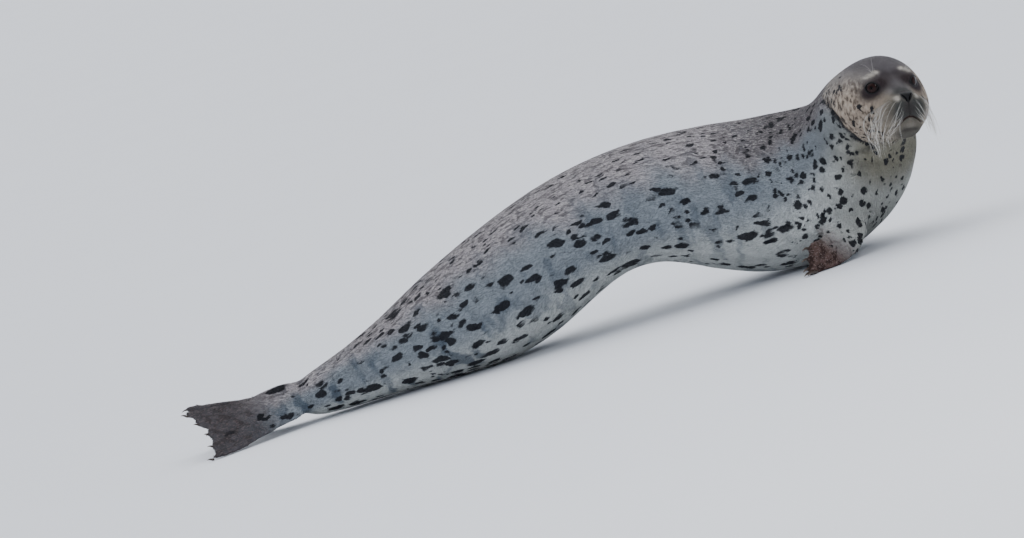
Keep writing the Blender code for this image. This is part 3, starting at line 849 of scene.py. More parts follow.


# ---- markings, with painted shade and highlights -------------------------------------------------
Tint = namedtuple("Tint", "colour centre reach amount")
FACE_TINTS = (  # laid over each other in order, in head axes, on both sides
    Tint("cheek", (0.040, 0.085, -0.040), (0.060, 0.045, 0.060), 1.0),
    Tint("crown", (0.020, 0.0, 0.085), (0.090, 0.115, 0.048), 1.0),
    Tint("crown", (0.085, 0.0, 0.050), (0.040, 0.040, 0.026), 1.0),
    Tint("crown", (0.118, 0.0, 0.012), (0.030, 0.020, 0.024), 0.85),
    # painted shade under the chin, in the throat colour
    Tint("throat", (0.050, 0.0, -0.115), (0.060, 0.060, 0.022), 0.8),
    Tint("cheek", (0.100, 0.050, -0.026), (0.024, 0.022, 0.020), 0.70),
    Tint("mask", (0.094, 0.047, 0.011), (0.026, 0.026, 0.0200), 1.0),
    Tint("mask", (0.104, 0.028, 0.021), (0.020, 0.014, 0.012), 1.0),
    Tint("mask", (0.092, 0.057, 0.004), (0.016, 0.013, 0.013), 0.9),
    Tint("mask", (0.098, 0.012, 0.032), (0.020, 0.016, 0.012), 0.55),
    Tint("brow", (0.079, 0.050, 0.0345), (0.012, 0.010, 0.0030), 0.70),
    Tint("brow", (0.083, 0.038, 0.0385), (0.012, 0.007, 0.0030), 0.85),
    Tint("brow", (0.087, 0.028, 0.0425), (0.012, 0.006, 0.0034), 0.95),
    Tint("muzzle", (0.140, 0.0, -0.004), (0.020, 0.018, 0.012), 0.85),
    Tint("mask", (0.148, 0.0, -0.012), (0.012, 0.013, 0.012), 0.75),
    Tint("muzzle", (0.150, 0.014, -0.038), (0.024, 0.024, 0.026), 0.95),
    Tint("mask", (0.156, 0.0, -0.036), (0.010, 0.012, 0.012), 0.50),
    # painted highlight beside the nose, on both sides, in the pale brow colour
    Tint("brow", (0.153, 0.0205, -0.0135), (0.010, 0.0045, 0.0058), 0.80),
    Tint("muzzle", (0.135, 0.0, -0.084), (0.026, 0.028, 0.018), 0.75),
    # painted shade in the crease between the lower lip and the chin
    Tint("mask", (0.149, 0.0, -0.0800), (0.014, 0.018, 0.0030), 0.40),
    # painted highlight on the lower lip
    Tint("brow", (0.153, 0.0, -0.0705), (0.010, 0.010, 0.0045), 0.14),
)


def tinted(ground, colour, amount):
    return ground + (colour - ground) * amount[:, None]


class BodyPlaces:
    """What the pattern is told by at each point: its place, and how far on the face, a limb or the back."""

    def __init__(self, points):
        self.points = points
        self.run, self.aside, rise = line.place(points).T
        self.round_body = rise / np.hypot(self.aside, rise)
        self.p = p = head.into(points)
        self.mirrored = both_sides(p)
        self.limb = ease(flipper_share(points) * 1.6)
        on_head = ease((p[:, 0] - jowl_edge(p) + 0.010) / 0.020) * ease((p[:, 2] + 0.120) / 0.03)
        self.on_head = on_head * ease((0.23 - np.linalg.norm(p, axis=1)) / 0.05)
        # the edge of the back's darker ground is ragged
        ragged = 0.10 * np.sin(self.run * 29 + 5 * self.aside) * np.sin(self.run * 13 + 2)
        ragged += 0.06 * np.sin(self.run * 71 + self.aside * 60)
        self.back = ease((self.round_body + ragged - 0.20) / 0.55) * (1 - self.on_head)


def trunk_colours(at, colours):
    """The ground of flank, back, belly, throat and cheeks, each laid over the ones before; the belly's
    partly painted light, the throat's partly painted shade.
    """
    withers = ease((at.run - line.joins[1]) / 0.2) * at.back * 0.80
    # the belly's colour on the lower body is partly painted light bounced up from the floor
    below = ease((-0.08 - at.round_body) / 0.6)
    chest = ease((at.run - line.joins[1] - 0.10) / 0.22) * ease((0.25 - at.round_body) / 0.6)
    neck = ease((at.run - line.joins[2] - 0.02) / 0.12) * ease((0.75 - at.round_body) / 0.6) * 0.95
    # the throat colour, partly painted shade, laid thinly on the chest and more fully on the neck's front
    olive_and_shade = np.maximum(chest * 0.40, neck) * ease((at.p[:, 1] + 0.14) / 0.11)
    ground = np.tile(colours["flank"], (len(at.points), 1))
    layers = ("back", at.back), ("crown", withers), ("belly", below), ("throat", olive_and_shade)
    for key, amount in (*layers, ("cheek", at.on_head * 0.5)):
        ground = tinted(ground, colours[key], amount)
    return ground


def face_and_limb_colours(ground, at, colours):
    """Lays over the ground the face, the limbs, and dark spots with painted shade along the bottom of the
    crease under the jowl.
    """
    for tint in FACE_TINTS:
        amount = np.clip(near(at.mirrored, tint.centre, tint.reach) * 1.6, 0, 1)
        ground = tinted(ground, colours[tint.colour], amount * tint.amount * ease(at.on_head * 2))
    limb_colour = np.where((at.run > line.joins[1])[:, None], colours["flipper"], colours["crown"])
    ground = tinted(ground, limb_colour, at.limb * 0.95)
    patches = np.sin(at.points @ np.array((190, 70, 40))) * np.sin(at.points @ np.array((60, -230, 90)) + 1)
    ground *= 1 + (0.14 * at.limb * patches)[:, None]
    # painted shade along the bottom of the jowl's crease, broken into dark spots, in the spots' near-black
    crease = 0.92 * ease(jowl_crease(at.points) * 2.3 - 0.35 + 0.25 * np.sin(at.p[:, 2] * 230 + 2))
    return tinted(ground, colours["spot"], crease * ease((at.p[:, 2] + 0.125) / 0.03))


def mark_densities(at):
    """How dense the spots of flank, shoulder and throat, the flecks, the back's rings and frosting are."""
    run, p, mirrored, limb, on_head = at.run, at.p, at.mirrored, at.limb, at.on_head
    shoulder = ease((run - line.joins[2] + 0.17) / 0.12) * (1 - on_head) * (1 - limb)
    throat = shoulder * ease((p[:, 1] + 0.055) / 0.05) * ease((-0.02 - p[:, 2]) / 0.04)
    shoulder *= (1 - throat) * (1 - 0.45 * at.back)
    flank = (1 - shoulder) * (1 - throat) * (1 - on_head) * (1 - 0.70 * at.back) * (1 - 0.9 * limb)
    mid_height = ease((0.25 - np.abs(at.round_body)) / 0.2)
    flank *= 0.54 + 0.46 * ease((line.joins[0] - run) / 0.15) + 0.14 * mid_height
    flecks = on_head * ease((0.052 - p[:, 2]) / 0.04) * ease((0.118 - p[:, 0]) / 0.02)
    flecks *= 1 - np.clip(1.9 * near(mirrored, (0.094, 0.047, 0.006), (0.026, 0.026, 0.022)), 0, 1)
    flecks *= np.maximum(ease((mirrored[:, 1] - 0.045) / 0.02), ease((0.006 - p[:, 2]) / 0.01))
    rings = at.back * (1 - limb) * (1 - 0.6 * shoulder)
    frost = limb * (0.45 + 0.55 * ease((run - line.joins[1]) / 0.05))
    return np.stack([flank, shoulder, throat], 1), flecks, rings, frost


def ground_colours(points):
    """At each point the ground colour, and how dense spots, flecks, the back's rings and frosting are."""
    chosen = bpy.context.scene.seal_colours
    colours = {key: np.array(getattr(chosen, key)) for key in SealColourSettings.__annotations__}
    at = BodyPlaces(points)
    ground = face_and_limb_colours(trunk_colours(at, colours), at, colours)
    return ground, *mark_densities(at)


def bareness(points):
    """Where the skin has no coat: the nose pad, the lips' edges and the rims of the lids."""
    p = head.into(points)
    across, up = np.abs(p[:, 1]), p[:, 2] - NOSE_AT.z
    wide = 0.0035 + 0.0105 * ease((up + 0.0125) / 0.017)
    pad = ease((wide - across) / 0.0022) * ease((up + 0.0135) / 0.003) * ease((0.0112 - up) / 0.003)
    pad *= ease((p[:, 0] - 0.130) / 0.006)
    lips = bell(lip_height(p), 0.0021) * ease((0.85 - np.abs(lip_share(p))) / 0.35)
    lips *= ease((p[:, 0] - 0.09) / 0.02)
    settings = bpy.context.scene.seal_face
    shares = [opening_share(points, eye_frame(name), settings) for name in EYES]
    rims = ease((1.30 - np.minimum(*shares)) / 0.12)
    return np.maximum(pad, rims), lips


def lie_of_coat(points, normals):
    """The way in which hairs lie: away from the nose, along the body and out along the digits."""
    ways, up = line.read(points, line.ways, line.up)
    ways = -ways - 0.18 * up
    p = head.into(points)
    from_nose = unit(points - head.out(np.array([0.150, 0.0, -0.020])))
    on_head = (ease((p[:, 0] + 0.05) / 0.10) * ease((0.22 - np.linalg.norm(p, axis=1)) / 0.05))[:, None]
    ways = ways * (1 - on_head) + from_nose * on_head
    for flipper in FLIPPERS.values():
        share = ease(flipper.share(points) * 2.2)[:, None]
        _, along = flipper.digit_gap(points)
        ways = ways * (1 - share) + along * share
    ways -= (ways * normals).sum(1, keepdims=True) * normals
    return unit(ways)


def store_marks(mesh, places, ground, spots, bare, flecks, each, rings, frost):
    """Stores what the coat's material reads at each corner. each is a tuft's own random number."""
    add_attribute(mesh, "body_place", places, "FLOAT_VECTOR")
    add_attribute(mesh, "ground", ground, "FLOAT_COLOR")
    add_attribute(mesh, "spots", spots, "FLOAT_COLOR")
    add_attribute(mesh, "skin_marks", np.stack([*bare, flecks], 1), "FLOAT_COLOR")
    add_attribute(mesh, "hair", np.stack([each, rings, frost], 1), "FLOAT_COLOR")


def mark_skin(mesh):
    rows = corners(mesh)
    ground, spots, flecks, rings, frost = ground_colours(rows)
    each = np.full(len(rows), 0.5)
    store_marks(mesh, line.place(rows), ground, spots, bareness(rows), flecks, each, rings, frost)


# ---- materials -----------------------------------------------------------------------------------
class Shader:
    """A material's nodes, made and joined by short calls."""

    def __init__(self, name):
        self.material = bpy.data.materials.new(name)
        self.material.use_nodes = True
        self.tree = self.material.node_tree
        self.surface = self.tree.nodes["Principled BSDF"]

    def add(self, kind, inputs=None, **settings):
        node = self.tree.nodes.new(kind)
        for key, value in settings.items():
            setattr(node, key, value)
        for key, value in (inputs or {}).items():
            self.put(node.inputs[key], value)
        return node

    def put(self, socket, value):
        if isinstance(value, bpy.types.NodeSocket):
            self.tree.links.new(value, socket)
        else:
            socket.default_value = value

    def maths(self, operation, a, b=0.0):
        return self.add("ShaderNodeMath", {0: a, 1: b}, operation=operation).outputs[0]

    def times(self, a, b):
        return self.maths("MULTIPLY", a, b)

    def smooth_step(self, value, low, high):
        """0 at low and 1 at high, which may be the lower number."""
        inputs = {"Value": value, "From Min": low, "From Max": high}
        return self.add("ShaderNodeMapRange", inputs, interpolation_type="SMOOTHSTEP").outputs[0]

    def map_range(self, value, low, high, to_low, to_high):
        inputs = {"Value": value, "From Min": low, "From Max": high, "To Min": to_low, "To Max": to_high}
        return self.add("ShaderNodeMapRange", inputs).outputs[0]

    def scaled(self, colour, level):
        return self.add("ShaderNodeVectorMath", {0: colour, "Scale": level}, operation="SCALE").outputs[0]

    def shifted(self, place, noise, reach):
        """Places moved by a noise's colour, by up to about half the reach each way."""
        half = (0.5, 0.5, 0.5)
        centred = self.add("ShaderNodeVectorMath", {0: noise, 1: half}, operation="SUBTRACT").outputs[0]
        inputs = {0: centred, 1: reach, 2: place}
        return self.add("ShaderNodeVectorMath", inputs, operation="MULTIPLY_ADD").outputs[0]

    def attribute(self, name, output="Vector"):
        return self.add("ShaderNodeAttribute", attribute_name=name).outputs[output]

    def channels(self, colour):
        return self.add("ShaderNodeSeparateColor", {0: colour}).outputs[:3]

    def blend(self, share, a, b):
        """From colour a to colour b. Either may be a socket or three numbers."""
        node = self.add("ShaderNodeMix", data_type="RGBA")
        self.put(node.inputs[0], share)
        for index, colour in ((6, a), (7, b)):
            is_socket = isinstance(colour, bpy.types.NodeSocket)
            self.put(node.inputs[index], colour if is_socket else (*colour, 1))
        return node.outputs[2]

    def painted(self, colour, paint, share, region, strength):
        """A colour with a paint over it, as far as a share and a region reach."""
        return self.blend(self.times(share, self.times(region, strength)), colour, paint)

    def stretched(self, vector, scale, offset=(0, 0, 0)):
        inputs = {"Vector": vector, "Scale": scale, "Location": offset}
        return self.add("ShaderNodeMapping", inputs).outputs[0]

    def noise(self, place, scale, detail, offset=(0, 0, 0), output="Fac"):
        """Noise over places, with a scale for each direction or one for all."""
        if isinstance(scale, tuple):
            place, scale = self.stretched(place, scale, offset), 1.0
        inputs = {"Vector": place, "Scale": scale, "Detail": detail}
        return self.add("ShaderNodeTexNoise", inputs).outputs[output]

    def object_place(self):
        return self.add("ShaderNodeTexCoord").outputs["Object"]

    def bump(self, height, strength, distance):
        inputs = {"Strength": strength, "Distance": distance, "Height": height}
        return self.add("ShaderNodeBump", inputs).outputs[0]

    def finish(self, **values):
        for key, value in values.items():
            self.put(self.surface.inputs[key.replace("_", " ")], value)
        return self.material


Spots = namedtuple("Spots", "cell offset region density radius")


def spot_layer(shader, place, spots):
    """One kind of spot: cells of a size, each with a spot of its own radius in it, or with none."""
    scaled = shader.stretched(place, tuple(1 / size for size in spots.cell), spots.offset)
    cells = shader.add("ShaderNodeTexVoronoi", {"Vector": scaled, "Scale": 1.0}).outputs
    lot, size, _ = shader.channels(cells["Color"])
    density = shader.times(spots.region, spots.density)
    present = shader.smooth_step(shader.maths("SUBTRACT", density, lot), 0.0, 0.04)
    reach = shader.map_range(size, 0.0, 1.0, spots.radius * 0.45, spots.radius)
    edge = shader.maths("SUBTRACT", reach, cells["Distance"])
    return shader.times(shader.smooth_step(edge, -0.08, 0.07), present)


def strayed(shader, place):
    """The pattern's places, which wander a little, and fray along the lie of the hair."""
    wander = shader.noise(place, (38, 60, 60), 3.5, output="Color")
    fray = shader.noise(place, (120, 520, 520), 1.0, output="Color")
    moved = shader.shifted(place, wander, (0.034, 0.018, 0.018))
    return shader.shifted(moved, fray, (0.0040, 0.0014, 0.0014))


def mottled_ground(shader, place, moved, hair):
    """The ground colour, softly mottled, and each tuft a little lighter or darker."""
    mottle = shader.map_range(shader.noise(moved, (35, 60, 60), 3.0), 0.3, 0.7, 0.86, 1.14)
    fine = shader.map_range(shader.noise(place, (120, 420, 420), 2.0), 0.3, 0.7, 0.93, 1.07)
    level = shader.times(mottle, fine)
    level = shader.times(level, shader.map_range(hair, 0.0, 1.0, 0.94, 1.06))
    return shader.scaled(shader.attribute("ground", "Color"), level)


def with_streaks(shader, colour, place, cheek):
    """Small dark and pale streaks on the cheeks."""
    streaks = shader.noise(place, (130, 170, 75), 2.0, (2, 2, 7))
    dark = shader.smooth_step(streaks, 0.50, 0.61)
    pale = shader.smooth_step(streaks, 0.47, 0.35)
    colour = shader.painted(colour, (0.070, 0.052, 0.042), dark, cheek, 0.84)
    return shader.painted(colour, (0.52, 0.45, 0.37), pale, cheek, 0.55)


def with_rings(shader, colour, moved, rings, flank):
    """Pale rings and dark patches on the back, and blurred smudges on the flanks."""
    ripple = shader.noise(moved, (48, 125, 125), 1.5, (3, 1, 2))
    pale = shader.smooth_step(shader.maths("ABSOLUTE", shader.maths("SUBTRACT", ripple, 0.53)), 0.035, 0.008)
    dark = shader.smooth_step(ripple, 0.49, 0.38)
    smudge = shader.smooth_step(shader.noise(moved, (27, 12, 12), 1.5, (7, 3, 1)), 0.51, 0.65)
    colour = shader.painted(colour, (0.50, 0.48, 0.47), pale, rings, 0.58)
    colour = shader.painted(colour, (0.075, 0.068, 0.072), dark, rings, 0.68)
    return shader.painted(colour, (0.066, 0.088, 0.115), smudge, flank, 0.80)


def with_frosting(shader, colour, place, moved, frost):
    """Dark patches and frayed pale hair tips on the flippers."""
    dark = shader.smooth_step(shader.noise(moved, (60, 60, 60), 2.0, (1, 4, 9)), 0.52, 0.40)
    pale = shader.smooth_step(shader.noise(place, (70, 420, 420), 2.0, (5, 2, 1)), 0.53, 0.66)
    colour = shader.painted(colour, (0.028, 0.014, 0.012), dark, frost, 0.80)
    return shader.painted(colour, (0.38, 0.29, 0.27), pale, frost, 0.60)


def with_spots(shader, colour, moved, rings, flank, shoulder, throat, cheek):
    """Long spots on back and flanks, round ones on the shoulders, upright ones on throat and cheeks."""
    layers = (
        Spots((0.026, 0.0105, 0.0105), (5, 8, 2), rings, 0.34, 0.47),
        Spots((0.041, 0.0190, 0.0190), (1, 5, 2), flank, 0.62, 0.58),
        Spots((0.027, 0.0140, 0.0140), (4, 2, 8), flank, 0.30, 0.52),
        Spots((0.023, 0.0190, 0.0190), (2, 9, 4), shoulder, 0.70, 0.51),
        Spots((0.016, 0.0140, 0.0140), (8, 3, 6), shoulder, 0.34, 0.50),
        Spots((0.014, 0.0140, 0.0320), (3, 7, 5), throat, 0.50, 0.50),
        Spots((0.011, 0.0110, 0.0210), (6, 1, 3), cheek, 0.54, 0.52),
    )
    for spots in layers:
        share = shader.times(spot_layer(shader, moved, spots), 0.96)
        colour = shader.blend(share, colour, bpy.context.scene.seal_colours.spot)
    return colour


def coat_material():
    """Fur: the ground colour with spots, smudges and streaks, and bare wet skin on nose, lips and lids."""
    shader = Shader("seal_coat")
    place = shader.attribute("body_place")
    flank, shoulder, throat = shader.channels(shader.attribute("spots", "Color"))
    black_skin, lips, cheek = shader.channels(shader.attribute("skin_marks", "Color"))
    hair, rings, frost = shader.channels(shader.attribute("hair", "Color"))
    moved = strayed(shader, place)
    colour = mottled_ground(shader, place, moved, hair)
    colour = with_streaks(shader, colour, place, cheek)
    colour = with_rings(shader, colour, moved, rings, flank)
    colour = with_frosting(shader, colour, place, moved, frost)
    colour = with_spots(shader, colour, moved, rings, flank, shoulder, throat, cheek)

    # bare skin
    colour = shader.blend(black_skin, colour, (0.008, 0.008, 0.009))
    colour = shader.blend(lips, colour, (0.030, 0.013, 0.012))
    wet = shader.maths("MAXIMUM", black_skin, lips)
    rough = shader.map_range(wet, 0.0, 1.0, 0.62, 0.36)

    # short hair as bump, and pebbles on the nose
    strands = shader.noise(place, (140, 1100, 1100), 2.0)
    pebbles = shader.add("ShaderNodeTexVoronoi", {"Vector": place, "Scale": 900.0}).outputs["Distance"]
    grain = shader.add("ShaderNodeMix", {0: wet, 2: strands, 3: pebbles}).outputs[0]
    normal = shader.bump(grain, 0.35, 0.0006)
    return shader.finish(Base_Color=colour, Roughness=rough, Normal=normal, Specular_IOR_Level=0.13)


def eye_material():
    """A wet, dark eye: red-brown round a black pupil, darker towards its edge, with a glossy front."""
    shader = Shader("seal_eye")
    place = shader.attribute("gaze")
    off_axis = shader.add("ShaderNodeSeparateXYZ", {0: place}).outputs[2]
    fibres = shader.noise(place, (30, 30, 4), 3.0)
    colour = shader.blend(fibres, (0.009, 0.004, 0.0035), (0.024, 0.008, 0.007))
    rings = (  # how far off the axis each begins and is full
        (0.34, 0.64, (0.002, 0.0015, 0.0015)),
        (0.62, 0.72, (0.007, 0.003, 0.003)),
        (0.74, 0.82, (0.050, 0.030, 0.026)),
        (0.26, 0.12, (0.003, 0.0015, 0.0015)),
    )
    for begins, full, tint in rings:
        colour = shader.blend(shader.smooth_step(off_axis, begins, full), colour, tint)
    return shader.finish(Base_Color=colour, Roughness=0.05, IOR=1.22)


def claw_material():
    """Horn: dark brown with streaks along the claw, paler at the tip."""
    shader = Shader("seal_claw")
    streaks = shader.noise(shader.object_place(), (260, 260, 900), 3.0)
    base = shader.blend(streaks, (0.022, 0.014, 0.011), (0.060, 0.040, 0.030))
    tip = shader.times(shader.smooth_step(shader.attribute("along", "Fac"), 0.55, 1.0), 0.5)
    colour = shader.blend(tip, base, (0.16, 0.12, 0.09))
    return shader.finish(Base_Color=colour, Roughness=0.34, Normal=shader.bump(streaks, 0.3, 0.0004))


def whisker_material():
    """Whitish, slightly clear whiskers, darker where they leave the skin."""
    shader = Shader("seal_whisker")
    beads = shader.noise(shader.object_place(), 420.0, 1.0)
    pale = shader.blend(beads, (0.50, 0.48, 0.44), (0.78, 0.76, 0.71))
    out = shader.smooth_step(shader.attribute("along", "Fac"), 0.04, 0.48)
    colour = shader.blend(out, (0.19, 0.18, 0.165), pale)
    return shader.finish(Base_Color=colour, Roughness=0.30, Coat_Weight=0.4)


def floor_material():
    """A plain pale floor with a very faint unevenness."""
    shader = Shader("studio_floor")
    floor = bpy.context.scene.seal_stage.floor
    cloud = shader.noise(shader.object_place(), 1.5, 4.0)
    colour = shader.blend(cloud, floor, tuple(value * 0.975 for value in floor))
    return shader.finish(Base_Color=colour, Roughness=0.85)


# ---- coat ----------------------------------------------------------------------------------------
Measured = namedtuple("Measured", "rows normals triangles centres surface")
Coat = namedtuple("Coat", "name low high length width lift")
Tufts = namedtuple("Tufts", "roots normals ways lengths widths lift sheet")
ON_LIMB = 0.30  # from this share of a flipper on, the skin has the limbs' coat

# a tuft's corners are its root, its two sides, its top and its tip
TUFT_FACES = np.array([(0, 3, 1), (0, 2, 3), (1, 3, 4), (3, 2, 4), (0, 1, 4), (0, 4, 2)])
TUFT_PATCH = np.array([(0.5, 0.0), (1.0, 0.5), (0.0, 0.5), (0.5, 0.5), (0.5, 1.0)])  # corners in its patch
PATCH = 0.003  # width of a tuft's patch in the tufts' UV map
TUFT_FLOOR = 0.0003  # least height of a tuft over the floor


def measured(skin):
    """What the coat is laid by: the skin's corners, normals and faces, and its surface."""
    rows, triangles = corners(skin.data), triangles_of(skin.data)
    centres = rows[triangles].mean(1)
    return Measured(rows, corner_normals(skin.data), triangles, centres, surface_of(skin.data))


def coat_regions():
    """Which part of the body each piece of coat covers, along the middle line, and its tufts' sizes."""
    settings = bpy.context.scene.seal_coat
    length, width = settings.tuft_length, settings.tuft_width
    rump_end, belly_end, chest_end, neck_end = line.joins
    jaw = neck_end - 0.01
    return (
        Coat("coat_rump", -1.0, rump_end, length, width, 0.0006),
        Coat("coat_belly", rump_end, belly_end, length, width, 0.0006),
        Coat("coat_chest", belly_end, chest_end, length, width, 0.0006),
        Coat("coat_neck", chest_end, jaw, length * 0.86, width * 0.86, 0.0006),
        Coat("coat_head", jaw, 9.0, length * 0.56, width * 0.60, 0.0005),
    )


def scatter(skin, here, density, count, rng):
    """Places spread over some of the skin's triangles, each with the skin's normal there."""
    triangles = skin.triangles[here]
    a, b, c = (skin.rows[triangles[:, k]] for k in range(3))
    heap = np.cumsum(np.linalg.norm(np.cross(b - a, c - a), axis=1) / 2 * density)
    at = np.searchsorted(heap, (np.arange(count) + rng.random(count)) * (heap[-1] / count) * 0.999999)
    picked = triangles[np.minimum(at, len(heap) - 1)]
    r, s = np.sqrt(rng.random(count)), rng.random(count)
    weights = np.stack([1 - r, r * (1 - s), r * s], 1)[..., None]
    return (skin.rows[picked] * weights).sum(1), unit((skin.normals[picked] * weights).sum(1))


def kept_over(surface, places, heights):
    """The places, moved out to their heights over the skin where they are lower than that."""
    kept = []
    for place, height in zip(places, heights):
        spot, out, _, _ = surface.find_nearest(place)
        spot, out = np.array(spot), np.array(out)
        kept.append(place + out * max(height - (place - spot) @ out, 0.0))
    return np.array(kept)


def make_tufts(name, surface, tufts, rng):
    """Joined closed leaves of five corners, rooted in the skin and lying along it."""
    roots, normals, count = tufts.roots, tufts.normals, len(tufts.roots)
    turn = rng.normal(0, 0.16, count)[:, None]
    ways = unit(tufts.ways + np.cross(normals, tufts.ways) * turn)
    aside = np.cross(normals, ways) * (tufts.widths[:, None] * 0.5)
    high = (tufts.lift * (0.6 + 0.8 * rng.random(count)))[:, None]
    ends = kept_over(surface, roots + ways * tufts.lengths[:, None], high[:, 0])
    middle = roots + (ends - roots) * 0.42
    under = middle - normals * 0.0001
    over = middle + normals * (0.2 * high + 0.0002)
    leaf = np.stack([roots - normals * 0.0009, under + aside, under - aside, over, ends], 1)
    leaf[:, :, 2] = np.maximum(leaf[:, :, 2], TUFT_FLOOR)
    faces = (TUFT_FACES + 5 * np.arange(count)[:, None, None]).reshape(-1, 3)
    mesh = bpy.data.meshes.new(name)
    mesh.vertices.add(count * 5)
    mesh.loops.add(len(faces) * 3)
    mesh.polygons.add(len(faces))
    mesh.vertices.foreach_set("co", leaf.astype(np.float32).ravel())
    mesh.loops.foreach_set("vertex_index", faces.astype(np.int32).ravel())
    mesh.polygons.foreach_set("loop_start", np.arange(0, len(faces) * 3, 3, dtype=np.int32))
    mesh.update(calc_edges=True)
    mesh.shade_smooth()
    spread = tufts.sheet[:, None] * (1 - PATCH) + PATCH / 2 + (TUFT_PATCH - 0.5) * PATCH
    places = spread.reshape(-1, 2)[faces.ravel()]
    mesh.uv_layers.new(name="OFBake").data.foreach_set("uv", places.astype(np.float32).ravel())
    mark_tufts(mesh, roots, leaf, rng.random(count))
    return new_object(name, mesh)


def mark_tufts(mesh, roots, leaf, each):
    """Gives every corner of a tuft the marks of the skin at its root."""
    axes = [unit(rows) for rows in line.read(roots, line.ways, line.left, line.up)]
    away = leaf - roots[:, None]
    offset = np.stack([(away * axis[:, None]).sum(2) for axis in axes], 2)
    places = (line.place(roots)[:, None] + offset).reshape(-1, 3)
    ground, spots, flecks, rings, frost = (np.repeat(rows, 5, axis=0) for rows in ground_colours(roots))
    bare = np.zeros((2, len(places)))
    store_marks(mesh, places, ground, spots, bare, flecks, np.repeat(each, 5), rings, frost)


def unrolled(points, low, high):
    """A place in the unit square for each point: round the body, and along it."""
    run, aside, rise = line.place(points).T
    around = np.arctan2(rise, aside) / (2 * math.pi) + 0.5
    return np.stack([around, np.clip((run - low) / (high - low), 0, 1)], 1)


def face_share(points, coat):
    """On the piece of coat for the head, 0 behind and 1 on the muzzle."""
    return ease((head.into(points)[:, 0] - 0.01) / 0.10) * (coat.name == "coat_head")


def build_trunk_coat(skin):
    """Five pieces of coat round the trunk, the neck and the head."""
    rng = np.random.default_rng(SEED)
    count = bpy.context.scene.seal_coat.tufts
    run = line.place(skin.centres)[:, 0]
    on_limb = (flipper_share(skin.centres) > ON_LIMB) | (tail_share(skin.centres) > 0.5)
    made = []
    for coat in coat_regions():
        here = (run >= coat.low) & (run < coat.high) & ~on_limb
        is_furred = np.maximum(*bareness(skin.centres[here])) < 0.35
        density = (1 + 3.0 * face_share(skin.centres[here], coat)) * is_furred
        roots, normals = scatter(skin, here, density, count, rng)
        ways = lie_of_coat(roots, normals)
        size = (1 - 0.45 * face_share(roots, coat)) * (0.75 + 0.5 * rng.random(count))
        bald = np.maximum(*bareness(roots + ways * (coat.length * size)[:, None]))
        size *= 1 - 0.6 * ease(bald * 2)
        sheet = unrolled(roots, run[here].min(), run[here].max())
        tufts = Tufts(roots, normals, ways, coat.length * size, coat.width * size, coat.lift, sheet)
        made.append(make_tufts(coat.name, skin.surface, tufts, rng))
    return made


def tail_share(points):
    """0 on the rump, rising to 1 along the tail."""
    low, high = box_of("tail")
    share = (high[0] + 0.006 - points[:, 0]) / (high[0] - low[0])
    return np.clip(share * 2, 0, 1) * in_box(points, "tail", 0.006)


def build_limb_coat(skin):
    """Short coat on the flippers and the tail."""
    rng = np.random.default_rng(SEED + 1)
    settings = bpy.context.scene.seal_coat
    made = []
    for limb in ("fore", "hind"):
        flippers = [flipper for name, flipper in FLIPPERS.items() if name.startswith(limb)]
        here = np.max([flipper.share(skin.centres) for flipper in flippers], axis=0) > ON_LIMB
        if limb == "hind":
            here |= tail_share(skin.centres) > 0.5
        roots, normals = scatter(skin, here, 1.0, settings.tufts, rng)
        size = (0.75 + 0.5 * rng.random(len(roots))) * (0.62 + 0.20 * (flipper_share(roots) < 0.45))
        lengths, widths = settings.tuft_length * size, settings.tuft_width * size * 0.85
        sheet = limb_sheet(roots, normals, flippers)
        tufts = Tufts(roots, normals, lie_of_coat(roots, normals), lengths, widths, 0.0009, sheet)
        made.append(make_tufts(f"coat_{limb}_flippers", skin.surface, tufts, rng))
    return made


def limb_sheet(points, normals, flippers):
    """A place in the unit square for points on limbs: an island for each flipper's sides, and the tail's."""
    low, high = box_of("tail")
    u, v = np.clip((points[:, 1::-1] - low[1::-1]) / (high[1::-1] - low[1::-1]), 0, 1).T
    sheet = np.stack([0.85 + 0.15 * u, v], 1)
    for k, flipper in enumerate(flippers):
        low, high = box_of(flipper.name)
        middle, reach = (low + high) / 2, np.linalg.norm(high - low)
        is_upper = normals @ flipper.normal > 0
        u = np.clip((points - middle) @ flipper.across / reach + 0.5, 0, 1)
        v = np.clip((points - middle) @ flipper.way / reach + 0.5, 0, 1)
        island = np.stack([(k * 2 + is_upper + u * 0.96) * 0.2, v], 1)
        on_it = flipper.share(points) > 0
        sheet[on_it] = island[on_it]
    return sheet


# ---- eyes, claws and whiskers --------------------------------------------------------------------
def build_eye(name):
    """A ball with a fuller clear front, a little behind the lids, and slimmer where they hide it."""
    eye = eye_frame(name)
    bpy.ops.object.select_all(action="DESELECT")
    bpy.ops.mesh.primitive_uv_sphere_add(segments=64, ring_count=48, radius=1.0)
    ball = bpy.context.view_layer.objects.active
    work = bmesh.new()
    work.from_mesh(ball.data)
    renumber(work.verts, corner_place)
    renumber(work.faces, face_place)
    work.to_mesh(ball.data)
    work.free()
    rows = corners(ball.data)
    off_axis = np.hypot(rows[:, 0], rows[:, 1])
    front = ease((rows[:, 2] - 0.55) / 0.35)
    hidden = ease((0.62 - rows[:, 2]) / 0.16)
    rows *= (eye.radius * (0.975 + 0.030 * front - 0.105 * hidden))[:, None]
    gaze = np.stack([off_axis, rows[:, 0] / eye.radius, off_axis], 1)
    add_attribute(ball.data, "gaze", gaze, "FLOAT_VECTOR")
    rows = rows @ np.stack([eye.across, eye.over, np.cross(eye.across, eye.over)])
    if (rows @ eye.gaze)[front > 0.9].mean() < 0:
        rows = -rows
    set_corners(ball.data, eye.middle + rows)
    fix_winding(ball)
    ball.data.shade_smooth()
    ball.name = ball.data.name = f"ball_{name[4:]}"
    return ball


def ring_faces(start, sides):
    """The faces between a ring of corners and the next ring."""
    pairs = [(k, (k + 1) % sides) for k in range(sides)]
    return [(start + k, start + n, start + sides + n, start + sides + k) for k, n in pairs]


